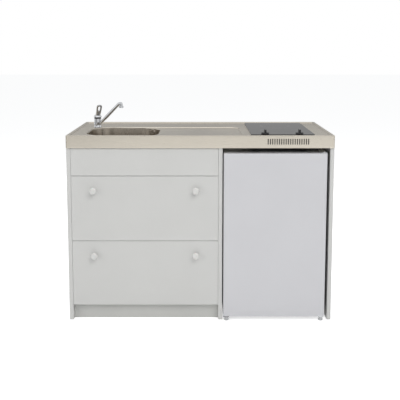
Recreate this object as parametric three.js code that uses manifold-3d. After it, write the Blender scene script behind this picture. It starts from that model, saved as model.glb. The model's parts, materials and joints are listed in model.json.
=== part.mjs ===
// A 1.2 m kitchenette: a two-drawer base cabinet and a bay with an under-counter refrigerator, under
// one pressed stainless worktop with a bowl, a drainer, a mixer tap and a two-zone glass hob.
// Millimetres, +X right, +Y to the wall, +Z up. The origin is on the floor, under the middle of the unit.
import * as THREE from 'three';
import { mergeVertices } from 'three/addons/utils/BufferGeometryUtils.js';
import Module from 'manifold-3d';

const wasm = await Module();
wasm.setup();

// ---- Driving dimensions ------------------------------------------------------------------------

const seatGap = 0.3; // between two pieces that rest on or against each other
const slack = 1; // what a cutter runs past the face that it cuts

// Worktop
const unitWidth = 1200;
const worktopDepth = 600;
const worktopHeight = 855;
const apronHeight = 57;
const sheet = 1.2;
const worktopCorner = 6;
const rimWidth = 14;
const rimHeight = 5;
const rimSlope = 4;
const hemWidth = 16;

// Carcass
const board = 18;
const carcassSetback = 10; // panel fronts behind the apron
const carcassRearGap = 20; // panel rears in front of the worktop's rear edge
const cabinetWidth = 700; // outside, over the left side and the divider
const plinthHeight = 70;
const plinthRecess = 28;
const plinthBoard = 16;
const railHeight = 97;

// Fronts
const sideReveal = 1;
const topReveal = 2;
const seam = 2;
const frontBoard = 18;
const upperFrontHeight = 297;
const falseFrontHeight = 124;
const knobDiameter = 33;
const knobFoot = 21;
const knobNeck = 13.4;
const knobProjection = 28;
const knobSpacing = 460;
const knobDrop = 65; // knob centre below the top of its front

// Drawers
const runnerLift = 30; // runner above the lower edge of its front
const runnerHeight = 32;
const runnerReach = 11;
const runnerLength = 450;
const runnerSetback = 4; // behind the drawer front
const tonguePlay = 1; // between a drawer side's tongue and the web of its runner
const drawerSheet = 1.5;
const drawerSideHeight = 120;
const drawerBackHeight = 90;
const drawerBoard = 16;
const sideStandOff = 13; // from the carcass to the web of a drawer side
const bottomLedge = 18;
const lipWidth = 9;
const lipDrop = 8;

// Bowl and drainer
const bowlInset = 74; // from the left end of the worktop
const bowlWidth = 332;
const bowlLength = 336; // front to back
const bowlFrontInset = 50;
const bowlCorner = 100;
const bowlDepth = 150;
const bowlDraft = 10;
const bowlFloorFillet = 36;
const bowlFlange = 7;
const recessMargin = 4;
const recessDepth = 4;
const recessSlope = 2;
const drainerToHob = 40;
const drainerCorner = 40;
const cornerFacets = 6; // in each corner of the bowl and the recess
const overflowFacet = 4; // the facet of the rear right corner that the overflow lies on
const overflowDrop = 18;
const overflowDiameter = 30;
const overflowThickness = 3;
const gratingBar = 3;
const facetGap = 0.2; // added to the seat of a flat piece on a round wall

// Waste and trap
const flangeRadius = 55;
const flangeRise = 1.8;
const cupRadius = 41;
const cupWall = 2;
const cupDepth = 42;
const cupFlare = 1.5; // how much wider the cup is at its mouth
const outletRadius = 20;
const outletLength = 22;
const wasteClearance = 4; // across the cup, in the hole in the bowl
const basketGap = 0.4; // between the strainer and its cup
const basketSheet = 1.4;
const wasteFacets = 18; // round the cup and its strainer alike
const strainerHole = 5;
const strainerRings = [
  { count: 6, radius: 15 },
  { count: 10, radius: 26 },
];
const stemTop = 10; // radius of the knob in the middle of the strainer
const trapNut = 26; // radius
const trapNeckLength = 34;
const bottleRadius = 28;
const bottleBand = 5; // how far the screw collar stands out of the bottle
const bottleHeight = 70;
const trapPipe = 20; // radius
const trapPipeDrop = 28; // the pipe's axis below the top of the bottle
const trapPipeNut = 26; // radius
const trapPipeNutLength = 26;

// Tap
const tapAngle = 131; // degrees; where the tap stands, seen from the centre of the bowl's rear left corner
const tapMargin = 0.7; // between the tap's base and the recess
const tapYaw = -43; // degrees; the spout at rest points to the front right
const leverYaw = -71;
const tapBase = 40;
const tapBody = 34;
const tapShank = 24;
const tapHoleClearance = 2;
const fixingLength = 60;
const fixingNut = 12;
const fixingNutFlange = 5;
const tapNeck = 24;
const spoutRingLow = 14;
const spoutRingHigh = 26;
const tapBodyTop = 44;
const spoutReach = 178;
const spoutRise = 125;
const spoutRoot = 8; // radius of the tube where it has left the ring
const spoutTip = 7;
const spoutCrown = 17; // length of the bend at its end
const spoutArch = 3; // how far the bend rises over the end of the straight tube
const spoutRingWall = 2; // how far the ring stands out of the body
const aeratorDiameter = 22;
const aeratorLength = 10;
const ballRadius = 17;
const ballGap = 0.6;
const ballRise = 3; // the tilt axis above the top of the body
const stemRadius = 6;
const stemDepth = 15;
const leverWall = 2.4;
const leverSkirt = 4; // the lower edge of the lever's dome above the tilt axis
const leverLength = 74;
const leverSlope = 50; // degrees above level
const leverWidth = 28;
const leverRootWidth = 24;
const leverThickness = 8;
const loopLength = 28;
const loopWidth = 10;
const loopTip = 9; // material between the loop and the lever's end

// Hob
const hobWidth = 288;
const hobRightInset = 82.5;
const hobFrontInset = 45;
const hobRearInset = 45;
const hobGlass = 4;
const hobCorner = 8;
const hobBearing = 9; // width of glass that lies on the deck
const casingClearance = 1;
const casingDepth = 45;
const frontZoneDiameter = 180;
const rearZoneDiameter = 145;
const frontZoneInset = 155; // its centre behind the front edge of the glass
const zoneGap = 47.5; // between the two zones
const zoneHeight = 28;
const zoneWall = 9;
const zoneFloor = 16;
const zoneFoot = 50; // diameter of the spring housing under an element
const hobKnobDiameter = 36;
const hobKnobHeight = 20;
const hobKnobSpacing = 156;
const hobKnobInset = 30; // behind the front edge of the glass
const hobKnobGrip = 9; // thickness of the ridge that the fingers hold
const hobShaft = 8;
const shaftClearance = 2;
const regulatorSize = 32;
const regulatorHeight = 30;

// Vent slots in the apron, in front of the hob
const slotCount = 19;
const slotPitch = 10;
const slotWidth = 4.5;
const slotHeight = 27;
const slotOffset = 19; // middle of the row to the right of the middle of the hob
const slotLow = 16; // above the lower edge of the apron

// Refrigerator
const fridgeLeftGap = 5;
const fridgeRightGap = 14;
const doorLow = 21;
const doorTopGap = 23; // below the apron
const doorProud = 15; // in front of the panel fronts
const doorThickness = 40;
const doorEdge = 6;
const gasketInset = 12;
const gasketWidth = 16;
const gasketDepth = 12;
const gasketSeat = 4; // thickness of the strip clipped to the door
const gasketBellows = 8; // width of the waist
const gasketMagnet = 5;
const fridgeDepth = 430;
const fridgeLow = 26;
const fridgeWall = 35;
const fridgeBackWall = 40;
const linerFillet = 14;
const machineDepth = 150;
const machineHeight = 170;
const basePlate = 5;
const shelfPlay = 1; // at each end of a shelf
const ledgeWidth = 6;
const ledgeHeight = 5;
const shelfGlass = 4;
const shelfTrim = 3; // of a shelf's front bar, behind the edge of its glass
const shelfBarDepth = 6; // of the bar, in front of the glass
const shelfBarDrop = 8;
const shelfBarRise = 3;
const shelfHeight = 480;
const crisperCoverHeight = 240;
const shelfFront = 100; // shelves and crisper behind the front of the cabinet
const crisperHeight = 150;
const crisperPlay = 8;
const trayWall = 2.5;
const binDepth = 85;
const binHeight = 62;
const lowerBinLevel = 110;
const upperBinLevel = 545;
const linerRib = 26;
const linerRibDepth = 30;
const linerRibGap = 12; // from the seal
const linerRibEnd = 60; // below and above the door's ends
const thermostatWidth = 150;
const thermostatHeight = 24;
const thermostatDepth = 70;
const thermostatSetback = 40; // behind the front of the shelves
const dialRadius = 16;
const dialHeight = 13;
const dialOffset = 40; // to the right of the middle of its housing
const hingeInset = 12;
const hingeDepth = 20;
const hingeNose = 12; // of the upper plate, in front of its pin
const hingeTail = 60; // of the upper plate, on the cabinet
const bracketTail = 30; // of the lower plate, under the cabinet
const bracketStart = 2; // behind the door's face
const hingePin = 8;
const hingePlate = 3;
const hingeWidth = 28;
const pinLength = 12;
const pinClearance = 0.5;
const footDiameter = 21;
const footInset = 5; // from the outside of the refrigerator to the foot
const footSetback = 1; // behind the door's face
const skidWidth = 30;
const skidLength = 32;
const skidInset = 6;
const skidRearInset = 8;
const compressorDiameter = 126;
const compressorHeight = 140;
const compressorOffset = 70; // to the right of the middle
const condenserTube = 5;
const condenserRuns = 9;
const condenserPitch = 56;
const condenserInset = 45;

// ---- Places worked out from them ---------------------------------------------------------------

const knobReach = knobProjection - carcassSetback; // knobs in front of the apron
const apronFront = -(worktopDepth - knobReach) / 2;
const worktopRear = apronFront + worktopDepth;
const halfWidth = unitWidth / 2;
const deckTop = worktopHeight - rimHeight;
const recessFloor = deckTop - recessDepth;
const apronLow = worktopHeight - apronHeight;

const carcassFront = apronFront + carcassSetback;
const carcassRear = worktopRear - carcassRearGap;
const carcassTop = apronLow - seatGap;
const cabinetLeft = -halfWidth + board; // inner faces of the drawer cabinet
const cabinetRight = -halfWidth + cabinetWidth - board;
const bayLeft = cabinetRight + board;
const cabinetCentre = (cabinetLeft + cabinetRight) / 2;

const frontBack = carcassFront + frontBoard;
const falseFrontLow = apronLow - topReveal - falseFrontHeight;
const upperFrontLow = falseFrontLow - seam - upperFrontHeight;
const lowerFrontLow = plinthHeight + topReveal;
const lowerFrontHeight = upperFrontLow - seam - lowerFrontLow;

const fridgeLeft = bayLeft + fridgeLeftGap;
const fridgeRight = halfWidth - board - fridgeRightGap;
const fridgeCentre = (fridgeLeft + fridgeRight) / 2;
const doorHigh = apronLow - doorTopGap;
const doorFront = carcassFront - doorProud;
const doorBack = doorFront + doorThickness;
const fridgeFront = doorBack + gasketDepth + 2 * seatGap;
const fridgeRear = fridgeFront + fridgeDepth;
const hingeX = fridgeRight - hingeInset;
const hingeY = doorFront + hingeDepth;
const bracketHigh = doorLow - seatGap;
const bracketLow = bracketHigh - hingePlate;
const innerLeft = fridgeLeft + fridgeWall;
const innerRight = fridgeRight - fridgeWall;
const innerLow = fridgeLow + fridgeWall;
const innerHigh = doorHigh - fridgeWall;
const innerRear = fridgeRear - fridgeBackWall;
const stepTop = fridgeLow + basePlate + machineHeight + fridgeWall;
const stepFront = fridgeRear - machineDepth - fridgeWall;
const shelfStart = fridgeFront + shelfFront;
const shelfLeft = innerLeft + shelfPlay;
const shelfRight = innerRight - shelfPlay;

const hobFront = apronFront + hobFrontInset;
const hobRear = worktopRear - hobRearInset;
const hobRight = halfWidth - hobRightInset;
const hobLeft = hobRight - hobWidth;
const hobCentreX = (hobLeft + hobRight) / 2;
const glassLow = deckTop + seatGap;
const glassTop = glassLow + hobGlass;
const hobKnobY = hobFront + hobKnobInset;
const frontZoneY = hobFront + frontZoneInset;
const rearZoneY = frontZoneY + (frontZoneDiameter + rearZoneDiameter) / 2 + zoneGap;

const bowlTop = recessFloor - sheet - seatGap;
const bowlFloor = recessFloor - bowlDepth;
const bowlLeft = -halfWidth + bowlInset;
const bowlRight = bowlLeft + bowlWidth;
const bowlCentreX = (bowlLeft + bowlRight) / 2;
const bowlFront = apronFront + bowlFrontInset;
const bowlRear = bowlFront + bowlLength;
const bowlCentreY = (bowlFront + bowlRear) / 2;
const wasteSeat = bowlFloor + seatGap;
const wasteHole = 2 * (cupRadius + cupWall) + wasteClearance;

const tapReach = bowlCorner + recessMargin + tapBase / 2 + tapMargin;
const tapX = bowlLeft + bowlCorner + tapReach * Math.cos((Math.PI * tapAngle) / 180);
const tapY = bowlRear - bowlCorner + tapReach * Math.sin((Math.PI * tapAngle) / 180);
const ballHeight = tapBodyTop + ballRise; // above the deck

// ---- Geometry helpers --------------------------------------------------------------------------

const degrees = THREE.MathUtils.degToRad;
const quarterTurn = Math.PI / 2;

/** A closed geometry as a solid that can be joined and cut. */
function solid(geometry) {
  const bare = geometry.clone();
  bare.deleteAttribute('normal');
  bare.deleteAttribute('uv');
  const merged = mergeVertices(bare, 1e-4);
  return new wasm.Manifold(
    new wasm.Mesh({
      numProp: 3,
      vertProperties: Float32Array.from(merged.attributes.position.array),
      triVerts: Uint32Array.from(merged.index.array),
    }),
  );
}

/** A solid as a geometry again. */
function skin(body) {
  const mesh = body.getMesh();
  const geometry = new THREE.BufferGeometry();
  geometry.setAttribute('position', new THREE.BufferAttribute(mesh.vertProperties, 3));
  geometry.setIndex(new THREE.BufferAttribute(mesh.triVerts, 1));
  geometry.computeVertexNormals();
  return geometry;
}

/** The first geometry with `added` joined to it and `removed` cut from it. */
function carve(base, { added = [], removed = [] }) {
  let body = solid(base);
  for (const piece of added) {
    body = body.add(solid(piece));
  }
  for (const piece of removed) {
    body = body.subtract(solid(piece));
  }
  return skin(body);
}

function box(x0, x1, y0, y1, z0, z1) {
  const geometry = new THREE.BoxGeometry(x1 - x0, y1 - y0, z1 - z0);
  return geometry.translate((x0 + x1) / 2, (y0 + y1) / 2, (z0 + z1) / 2);
}

/** A closed outline through `corners`, each rounded by its own third value or by `radius`. */
function roundedOutline(corners, radius = 0) {
  const shape = new THREE.Shape();
  const count = corners.length;
  corners.forEach(([x, y, own], i) => {
    const here = new THREE.Vector2(x, y);
    const before = new THREE.Vector2(...corners[(i + count - 1) % count].slice(0, 2));
    const after = new THREE.Vector2(...corners[(i + 1) % count].slice(0, 2));
    const reach = own ?? radius;
    const entry = here.clone().add(before.sub(here).setLength(reach));
    const exit = here.clone().add(after.sub(here).setLength(reach));
    if (i === 0) {
      shape.moveTo(entry.x, entry.y);
    } else {
      shape.lineTo(entry.x, entry.y);
    }
    if (reach > 0) {
      shape.quadraticCurveTo(x, y, exit.x, exit.y);
    }
  });
  shape.closePath();
  return shape;
}

/** A rectangle with true quarter-circle corners. */
function roundedRectangle(x0, x1, y0, y1, radius) {
  const shape = new THREE.Shape();
  shape.moveTo(x0 + radius, y0);
  shape.lineTo(x1 - radius, y0);
  shape.absarc(x1 - radius, y0 + radius, radius, -Math.PI / 2, 0);
  shape.lineTo(x1, y1 - radius);
  shape.absarc(x1 - radius, y1 - radius, radius, 0, Math.PI / 2);
  shape.lineTo(x0 + radius, y1);
  shape.absarc(x0 + radius, y1 - radius, radius, Math.PI / 2, Math.PI);
  shape.lineTo(x0, y0 + radius);
  shape.absarc(x0 + radius, y0 + radius, radius, Math.PI, Math.PI * 1.5);
  return shape;
}

function extrude(shape, depth, curveSegments = 5) {
  return new THREE.ExtrudeGeometry(shape, { depth, bevelEnabled: false, curveSegments });
}

/** A plan outline (x, y) raised from z0 to z1. */
function raise(shape, z0, z1, curveSegments) {
  return extrude(shape, z1 - z0, curveSegments).translate(0, 0, z0);
}

/** A front outline (x, z) run from y0 back to y1. */
function runBack(shape, y0, y1, curveSegments) {
  return extrude(shape, y1 - y0, curveSegments).rotateX(Math.PI / 2).translate(0, y1, 0);
}

/** A side outline (y, z) run from x0 across to x1. */
function runAcross(shape, x0, x1, curveSegments) {
  const turn = new THREE.Matrix4().makeBasis(
    new THREE.Vector3(0, 1, 0),
    new THREE.Vector3(0, 0, 1),
    new THREE.Vector3(1, 0, 0),
  );
  return extrude(shape, x1 - x0, curveSegments).applyMatrix4(turn).translate(x0, 0, 0);
}

/** A turned piece: [radius, height] points from the axis round to the axis, on a vertical axis. */
function turn(points, segments = 16) {
  const profile = points.map(([radius, height]) => new THREE.Vector2(radius, height));
  return new THREE.LatheGeometry(profile, segments).rotateX(Math.PI / 2);
}

/** A plain turned pin. */
function pin(x, y, z0, z1, diameter, segments = 12) {
  const radius = diameter / 2;
  return new THREE.CylinderGeometry(radius, radius, z1 - z0, segments)
    .rotateX(Math.PI / 2)
    .translate(x, y, (z0 + z1) / 2);
}

/** A closed body through rings of as many points each, with both ends capped. */
function loft(rings) {
  const count = rings[0].length;
  const positions = rings.flat().flatMap((point) => [point.x, point.y, point.z]);
  const index = [];
  for (let level = 0; level < rings.length - 1; level += 1) {
    for (let i = 0; i < count; i += 1) {
      const a = level * count + i;
      const b = level * count + ((i + 1) % count);
      index.push(a, b, b + count, a, b + count, a + count);
    }
  }
  const last = (rings.length - 1) * count;
  for (let i = 1; i < count - 1; i += 1) {
    index.push(0, i + 1, i);
    index.push(last, last + i, last + i + 1);
  }
  const geometry = new THREE.BufferGeometry();
  geometry.setAttribute('position', new THREE.Float32BufferAttribute(positions, 3));
  geometry.setIndex(index);
  geometry.computeVertexNormals();
  return geometry;
}

/** A level ring: a rectangle whose left and right corners have their own radii. */
function levelRing({ left, right, front, rear, leftRadius, rightRadius }, z, steps = cornerFacets) {
  const corners = [
    [right - rightRadius, front + rightRadius, rightRadius],
    [right - rightRadius, rear - rightRadius, rightRadius],
    [left + leftRadius, rear - leftRadius, leftRadius],
    [left + leftRadius, front + leftRadius, leftRadius],
  ];
  return corners.flatMap(([x, y, radius], corner) =>
    Array.from({ length: steps + 1 }, (_, i) => {
      const angle = quarterTurn * (corner - 1 + i / steps);
      return new THREE.Vector3(x + radius * Math.cos(angle), y + radius * Math.sin(angle), z);
    }),
  );
}

/** The same rectangle, grown outwards on every side. */
function grown(area, by) {
  return {
    left: area.left - by,
    right: area.right + by,
    front: area.front - by,
    rear: area.rear + by,
    leftRadius: area.leftRadius + by,
    rightRadius: area.rightRadius + by,
  };
}

/** A round bar through `points` that lie in one plane; `side` is that plane's normal. */
function bar(points, radii, side, sides = 10) {
  const rings = points.map((point, i) => {
    const before = points[Math.max(i - 1, 0)];
    const after = points[Math.min(i + 1, points.length - 1)];
    const ahead = after.clone().sub(before).normalize();
    const up = ahead.clone().cross(side);
    return Array.from({ length: sides }, (_, k) => {
      const angle = (2 * Math.PI * k) / sides;
      return point
        .clone()
        .addScaledVector(side, radii[i] * Math.cos(angle))
        .addScaledVector(up, radii[i] * Math.sin(angle));
    });
  });
  return loft(rings);
}

/** An open-topped tray with walls and floor of one thickness. */
function tray(x0, x1, y0, y1, z0, z1, wall, radius) {
  const outside = raise(roundedRectangle(x0, x1, y0, y1, radius), z0, z1, 3);
  const inside = roundedRectangle(x0 + wall, x1 - wall, y0 + wall, y1 - wall, radius - wall);
  return carve(outside, { removed: [raise(inside, z0 + wall, z1 + slack, 3)] });
}

// ---- Materials ---------------------------------------------------------------------------------

const finish = (color, roughness, metalness) =>
  new THREE.MeshStandardMaterial({ color, roughness, metalness });
const whiteBoard = () => finish(0xd0d0ce, 0.6, 0);
const plinthFinish = () => finish(0xb4b5b0, 0.6, 0);
const stainless = () => finish(0xc6bcac, 0.3, 1);
const chrome = () => finish(0xe2e4e8, 0.06, 1);
const steelSheet = () => finish(0xd8d9da, 0.4, 0.6);
const blackGlass = () => finish(0x0b0b0d, 0.05, 0);
const blackPlastic = () => finish(0x17171a, 0.4, 0);
const whitePlastic = () => finish(0xe9e9e6, 0.4, 0);
const fridgePaint = () => finish(0xcdcdd1, 0.4, 0);
const greyRubber = () => finish(0xc9c9c6, 0.8, 0);
const darkSteel = () => finish(0x202124, 0.5, 0.5);
const clearPlastic = () => finish(0xdde6ea, 0.2, 0);
const greyPlastic = () => finish(0x9b9da0, 0.5, 0);

const group = new THREE.Group();

function add(name, geometry, material, parent = group) {
  const mesh = new THREE.Mesh(geometry, material);
  mesh.name = name;
  parent.add(mesh);
  return mesh;
}

// ---- Carcass -----------------------------------------------------------------------------------

function buildCarcass() {
  const upright = (x) => box(x, x + board, carcassFront, carcassRear, 0, carcassTop);
  add('left_side_panel', upright(-halfWidth), whiteBoard());
  add('divider_panel', upright(cabinetRight), whiteBoard());
  add('right_side_panel', upright(halfWidth - board), whiteBoard());

  const left = cabinetLeft + seatGap;
  const right = cabinetRight - seatGap;
  const floorLow = plinthHeight + seatGap;
  const railLow = carcassTop - railHeight;
  add(
    'cabinet_floor',
    box(left, right, frontBack + sideReveal, carcassRear, floorLow, floorLow + board),
    whiteBoard(),
  );
  const rail = (y) => box(left, right, y, y + board, railLow, carcassTop);
  add('cabinet_front_rail', rail(frontBack + seatGap), whiteBoard());
  add('cabinet_rear_rail', rail(carcassRear - board), whiteBoard());

  const plinthFront = carcassFront + plinthRecess;
  const plinth = box(left, right, plinthFront, plinthFront + plinthBoard, 0, plinthHeight);
  add('plinth_board', plinth, plinthFinish());
  add(
    'false_front',
    box(
      cabinetLeft + sideReveal,
      cabinetRight - sideReveal,
      carcassFront,
      frontBack,
      falseFrontLow,
      falseFrontLow + falseFrontHeight,
    ),
    whiteBoard(),
  );
}

// ---- Worktop -----------------------------------------------------------------------------------

const deckArea = {
  left: -halfWidth + rimWidth,
  right: halfWidth - rimWidth,
  front: apronFront + rimWidth,
  rear: worktopRear - rimWidth,
  leftRadius: worktopCorner * 2,
  rightRadius: worktopCorner * 2,
};

const recessArea = {
  left: bowlLeft - recessMargin,
  right: hobLeft - drainerToHob,
  front: bowlFront - recessMargin,
  rear: bowlRear + recessMargin,
  leftRadius: bowlCorner + recessMargin,
  rightRadius: drainerCorner,
};

/** A shallow pressing: the pan of sheet that hangs below a face, and the hollow in it. */
function pressing(area, faceHeight, depth, slope, steps) {
  const lift = slope / depth;
  const low = faceHeight - depth;
  const high = faceHeight + slack;
  return {
    pan: loft([
      levelRing(grown(area, sheet - slope), low - sheet, steps),
      levelRing(grown(area, sheet), faceHeight - sheet / 2, steps),
    ]),
    hollow: loft([
      levelRing(grown(area, -slope), low, steps),
      levelRing(grown(area, slack * lift), high, steps),
    ]),
  };
}

function ventSlots() {
  return Array.from({ length: slotCount }, (_, i) => {
    const x = hobCentreX + slotOffset + (i - (slotCount - 1) / 2) * slotPitch;
    const low = apronLow + slotLow;
    const half = slotWidth / 2;
    const outline = roundedRectangle(x - half, x + half, low, low + slotHeight, slotWidth / 3);
    return runBack(outline, apronFront - slack, apronFront + sheet + slack, 1);
  });
}

function buildWorktop() {
  const outline = (inset) =>
    roundedRectangle(
      -halfWidth + inset,
      halfWidth - inset,
      apronFront + inset,
      worktopRear - inset,
      Math.max(worktopCorner - inset, sheet),
    );
  const hem = outline(0);
  hem.holes.push(outline(hemWidth));
  const deck = pressing(deckArea, worktopHeight, rimHeight, rimSlope, 3);
  const recess = pressing(recessArea, deckTop, recessDepth, recessSlope, cornerFacets);
  const bowlMouth = loft([
    levelRing(bowlOutline(0), recessFloor - sheet - slack),
    levelRing(bowlOutline(0), deckTop + slack),
  ]);
  const hobCutOut = box(
    hobLeft + hobBearing,
    hobRight - hobBearing,
    hobFront + hobBearing,
    hobRear - hobBearing,
    deckTop - sheet - slack,
    deckTop + slack,
  );
  const tapHole = pin(
    tapX,
    tapY,
    deckTop - sheet - slack,
    deckTop + slack,
    tapShank + tapHoleClearance,
    24,
  );
  const geometry = carve(raise(outline(0), apronLow, worktopHeight, 3), {
    removed: [raise(outline(sheet), apronLow - slack, worktopHeight - sheet, 3)],
  });
  const pressed = carve(geometry, {
    added: [raise(hem, apronLow, apronLow + sheet, 3), deck.pan],
    removed: [deck.hollow],
  });
  add(
    'worktop',
    carve(pressed, {
      added: [recess.pan],
      removed: [recess.hollow, bowlMouth, hobCutOut, tapHole, ...ventSlots()],
    }),
    stainless(),
  );
}

// ---- Sink --------------------------------------------------------------------------------------

/** The bowl's mouth, drawn in on every side. */
function bowlOutline(inset) {
  return {
    left: bowlLeft + inset,
    right: bowlRight - inset,
    front: bowlFront + inset,
    rear: bowlRear - inset,
    leftRadius: bowlCorner - inset,
    rightRadius: bowlCorner - inset,
  };
}

/** The bowl's form from its floor to its mouth, grown by the sheet for the outside. */
function bowlForm(growth, floor, top) {
  const steps = 5;
  const fillet = bowlFloorFillet + growth;
  const rings = Array.from({ length: steps + 1 }, (_, i) => {
    const angle = (Math.PI / 2) * (i / steps);
    const inset = bowlDraft + fillet * (1 - Math.sin(angle)) - growth;
    return levelRing(bowlOutline(inset), floor + fillet * (1 - Math.cos(angle)));
  });
  rings.push(levelRing(bowlOutline(-growth), top));
  return rings;
}

function buildSink() {
  const outside = bowlForm(sheet, bowlFloor - sheet, bowlTop - sheet);
  outside.push(levelRing(bowlOutline(-bowlFlange), bowlTop - sheet));
  outside.push(levelRing(bowlOutline(-bowlFlange), bowlTop));
  const inside = bowlForm(0, bowlFloor, bowlTop + slack);
  const waste = pin(
    bowlCentreX,
    bowlCentreY,
    bowlFloor - sheet - slack,
    bowlFloor + slack,
    wasteHole,
    28,
  );
  add('sink_bowl', carve(loft(outside), { removed: [loft(inside), waste] }), stainless());

  buildWaste();
  buildOverflow();
}

/** The basket waste: a flange over the floor of the bowl, its cup and the outlet below. */
function buildWaste() {
  const cupLow = wasteSeat - cupDepth;
  const flareLow = wasteSeat - cupWall;
  const bore = outletRadius - cupWall;
  const cup = turn([
    [bore, cupLow - outletLength],
    [outletRadius, cupLow - outletLength],
    [outletRadius, cupLow - cupWall],
    [cupRadius + cupWall, cupLow - cupWall],
    [cupRadius + cupWall, wasteSeat],
    [flangeRadius, wasteSeat],
    [flangeRadius - 1, wasteSeat + flangeRise / 2],
    [cupRadius + 3 * cupFlare, wasteSeat + flangeRise],
    [cupRadius + cupFlare, wasteSeat + flangeRise / 2],
    [cupRadius, flareLow],
    [cupRadius, cupLow],
    [bore, cupLow],
    [bore, cupLow - outletLength],
  ], wasteFacets);
  add('waste_flange', cup.translate(bowlCentreX, bowlCentreY, 0), chrome());

  const basketLow = cupLow + cupWall;
  const basketFloor = basketLow + basketSheet;
  const wall = cupRadius - basketGap;
  const stemHigh = wasteSeat - 1;
  const basket = turn([
    [0, basketLow],
    [wall - 6, basketLow],
    [wall - 2, basketLow + 4],
    [wall, flareLow - 6],
    [wall, flareLow],
    [wall + cupFlare, wasteSeat + flangeRise / 2],
    [wall + cupFlare - 1, wasteSeat + flangeRise],
    [wall - basketSheet, flareLow],
    [wall - basketSheet - 2, basketFloor + 4],
    [wall - basketSheet - 6, basketFloor],
    [stemTop - 2, basketFloor],
    [stemTop - 7, basketFloor + 4],
    [stemTop - 7, stemHigh - 9],
    [stemTop - 1, stemHigh - 7],
    [stemTop, stemHigh - 3],
    [stemTop - 3, stemHigh],
    [0, stemHigh],
  ], wasteFacets);
  const holes = strainerRings.flatMap(({ count, radius }) =>
    Array.from({ length: count }, (_, i) => {
      const angle = (2 * Math.PI * i) / count;
      const x = radius * Math.cos(angle);
      const y = radius * Math.sin(angle);
      return pin(x, y, basketLow - slack, basketFloor + slack, strainerHole, 6);
    }),
  );
  const strainer = carve(basket, { removed: holes });
  add('sink_strainer', strainer.translate(bowlCentreX, bowlCentreY, 0), chrome());

  buildTrap(cupLow - outletLength);
}

/** The bottle trap under the waste, with its outlet run back to the wall. */
function buildTrap(outletLow) {
  const high = outletLow - seatGap;
  const bottleTop = high - trapNeckLength;
  const bottleLow = bottleTop - bottleHeight;
  const collarLow = bottleLow + bottleHeight * 0.32;
  const collarHigh = bottleLow + bottleHeight * 0.55;
  const neckRadius = outletRadius - cupWall;
  const nutLow = high - trapNeckLength / 2;
  const bottle = turn([
    [0, bottleLow],
    [bottleRadius - 6, bottleLow],
    [bottleRadius, bottleLow + 5],
    [bottleRadius, collarLow],
    [bottleRadius + bottleBand, collarLow + 2],
    [bottleRadius + bottleBand, collarHigh - 2],
    [bottleRadius + 2, collarHigh],
    [bottleRadius + 2, bottleTop - 6],
    [bottleRadius - 6, bottleTop],
    [neckRadius, bottleTop + 2],
    [neckRadius, nutLow - 2],
    [trapNut - 2, nutLow],
    [trapNut, nutLow + 4],
    [trapNut, high],
    [0, high],
  ], 16);
  const pipeHeight = bottleTop - trapPipeDrop;
  const pipeEnd = carcassRear - bowlCentreY;
  const pipe = (radius, from, to) =>
    new THREE.CylinderGeometry(radius, radius, to - from, 16).translate(0, (from + to) / 2, pipeHeight);
  const nutStart = bottleRadius - bottleBand;
  const nutEnd = nutStart + trapPipeNutLength;
  const geometry = carve(bottle, {
    added: [pipe(trapPipe, 0, pipeEnd), pipe(trapPipeNut, nutStart, nutEnd)],
    removed: [pipe(trapPipe - cupWall, nutEnd + cupWall, pipeEnd + slack)],
  });
  add('waste_trap', geometry.translate(bowlCentreX, bowlCentreY, 0), whitePlastic());
}

/** The overflow grating, flat against the rear right corner of the bowl. */
function buildOverflow() {
  const radius = overflowDiameter / 2;
  const plate = turn([
    [0, 0],
    [radius, 0],
    [radius, overflowThickness - 1],
    [radius - 2, overflowThickness],
    [0, overflowThickness],
  ], 20);
  const rim = radius / 3;
  const slots = [-2, 0, 2].map((place) => {
    const x = (place - 0.5) * gratingBar;
    return box(x, x + gratingBar, -radius + rim, radius - rim, 1, overflowThickness + slack);
  });
  const grating = carve(plate, { removed: slots });
  const lean = Math.atan(bowlDraft / (bowlTop - bowlFloor - bowlFloorFillet));
  const arc = bowlCorner - overflowDrop * Math.tan(lean);
  const reach = Math.sqrt(arc * arc - radius * radius) - seatGap - facetGap;
  const angle = (quarterTurn * (overflowFacet - 0.5)) / cornerFacets;
  const outward = new THREE.Vector3(Math.cos(angle), Math.sin(angle), 0);
  const inward = outward.clone().multiplyScalar(-Math.cos(lean)).setZ(Math.sin(lean));
  const along = new THREE.Vector3(outward.y, -outward.x, 0);
  const up = inward.clone().cross(along);
  const mesh = add('overflow_rosette', grating, chrome());
  mesh.quaternion.setFromRotationMatrix(new THREE.Matrix4().makeBasis(along, up, inward));
  mesh.position.set(bowlRight - bowlCorner, bowlRear - bowlCorner, recessFloor - overflowDrop);
  mesh.position.addScaledVector(outward, reach);
}

// ---- Tap ---------------------------------------------------------------------------------------

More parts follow.
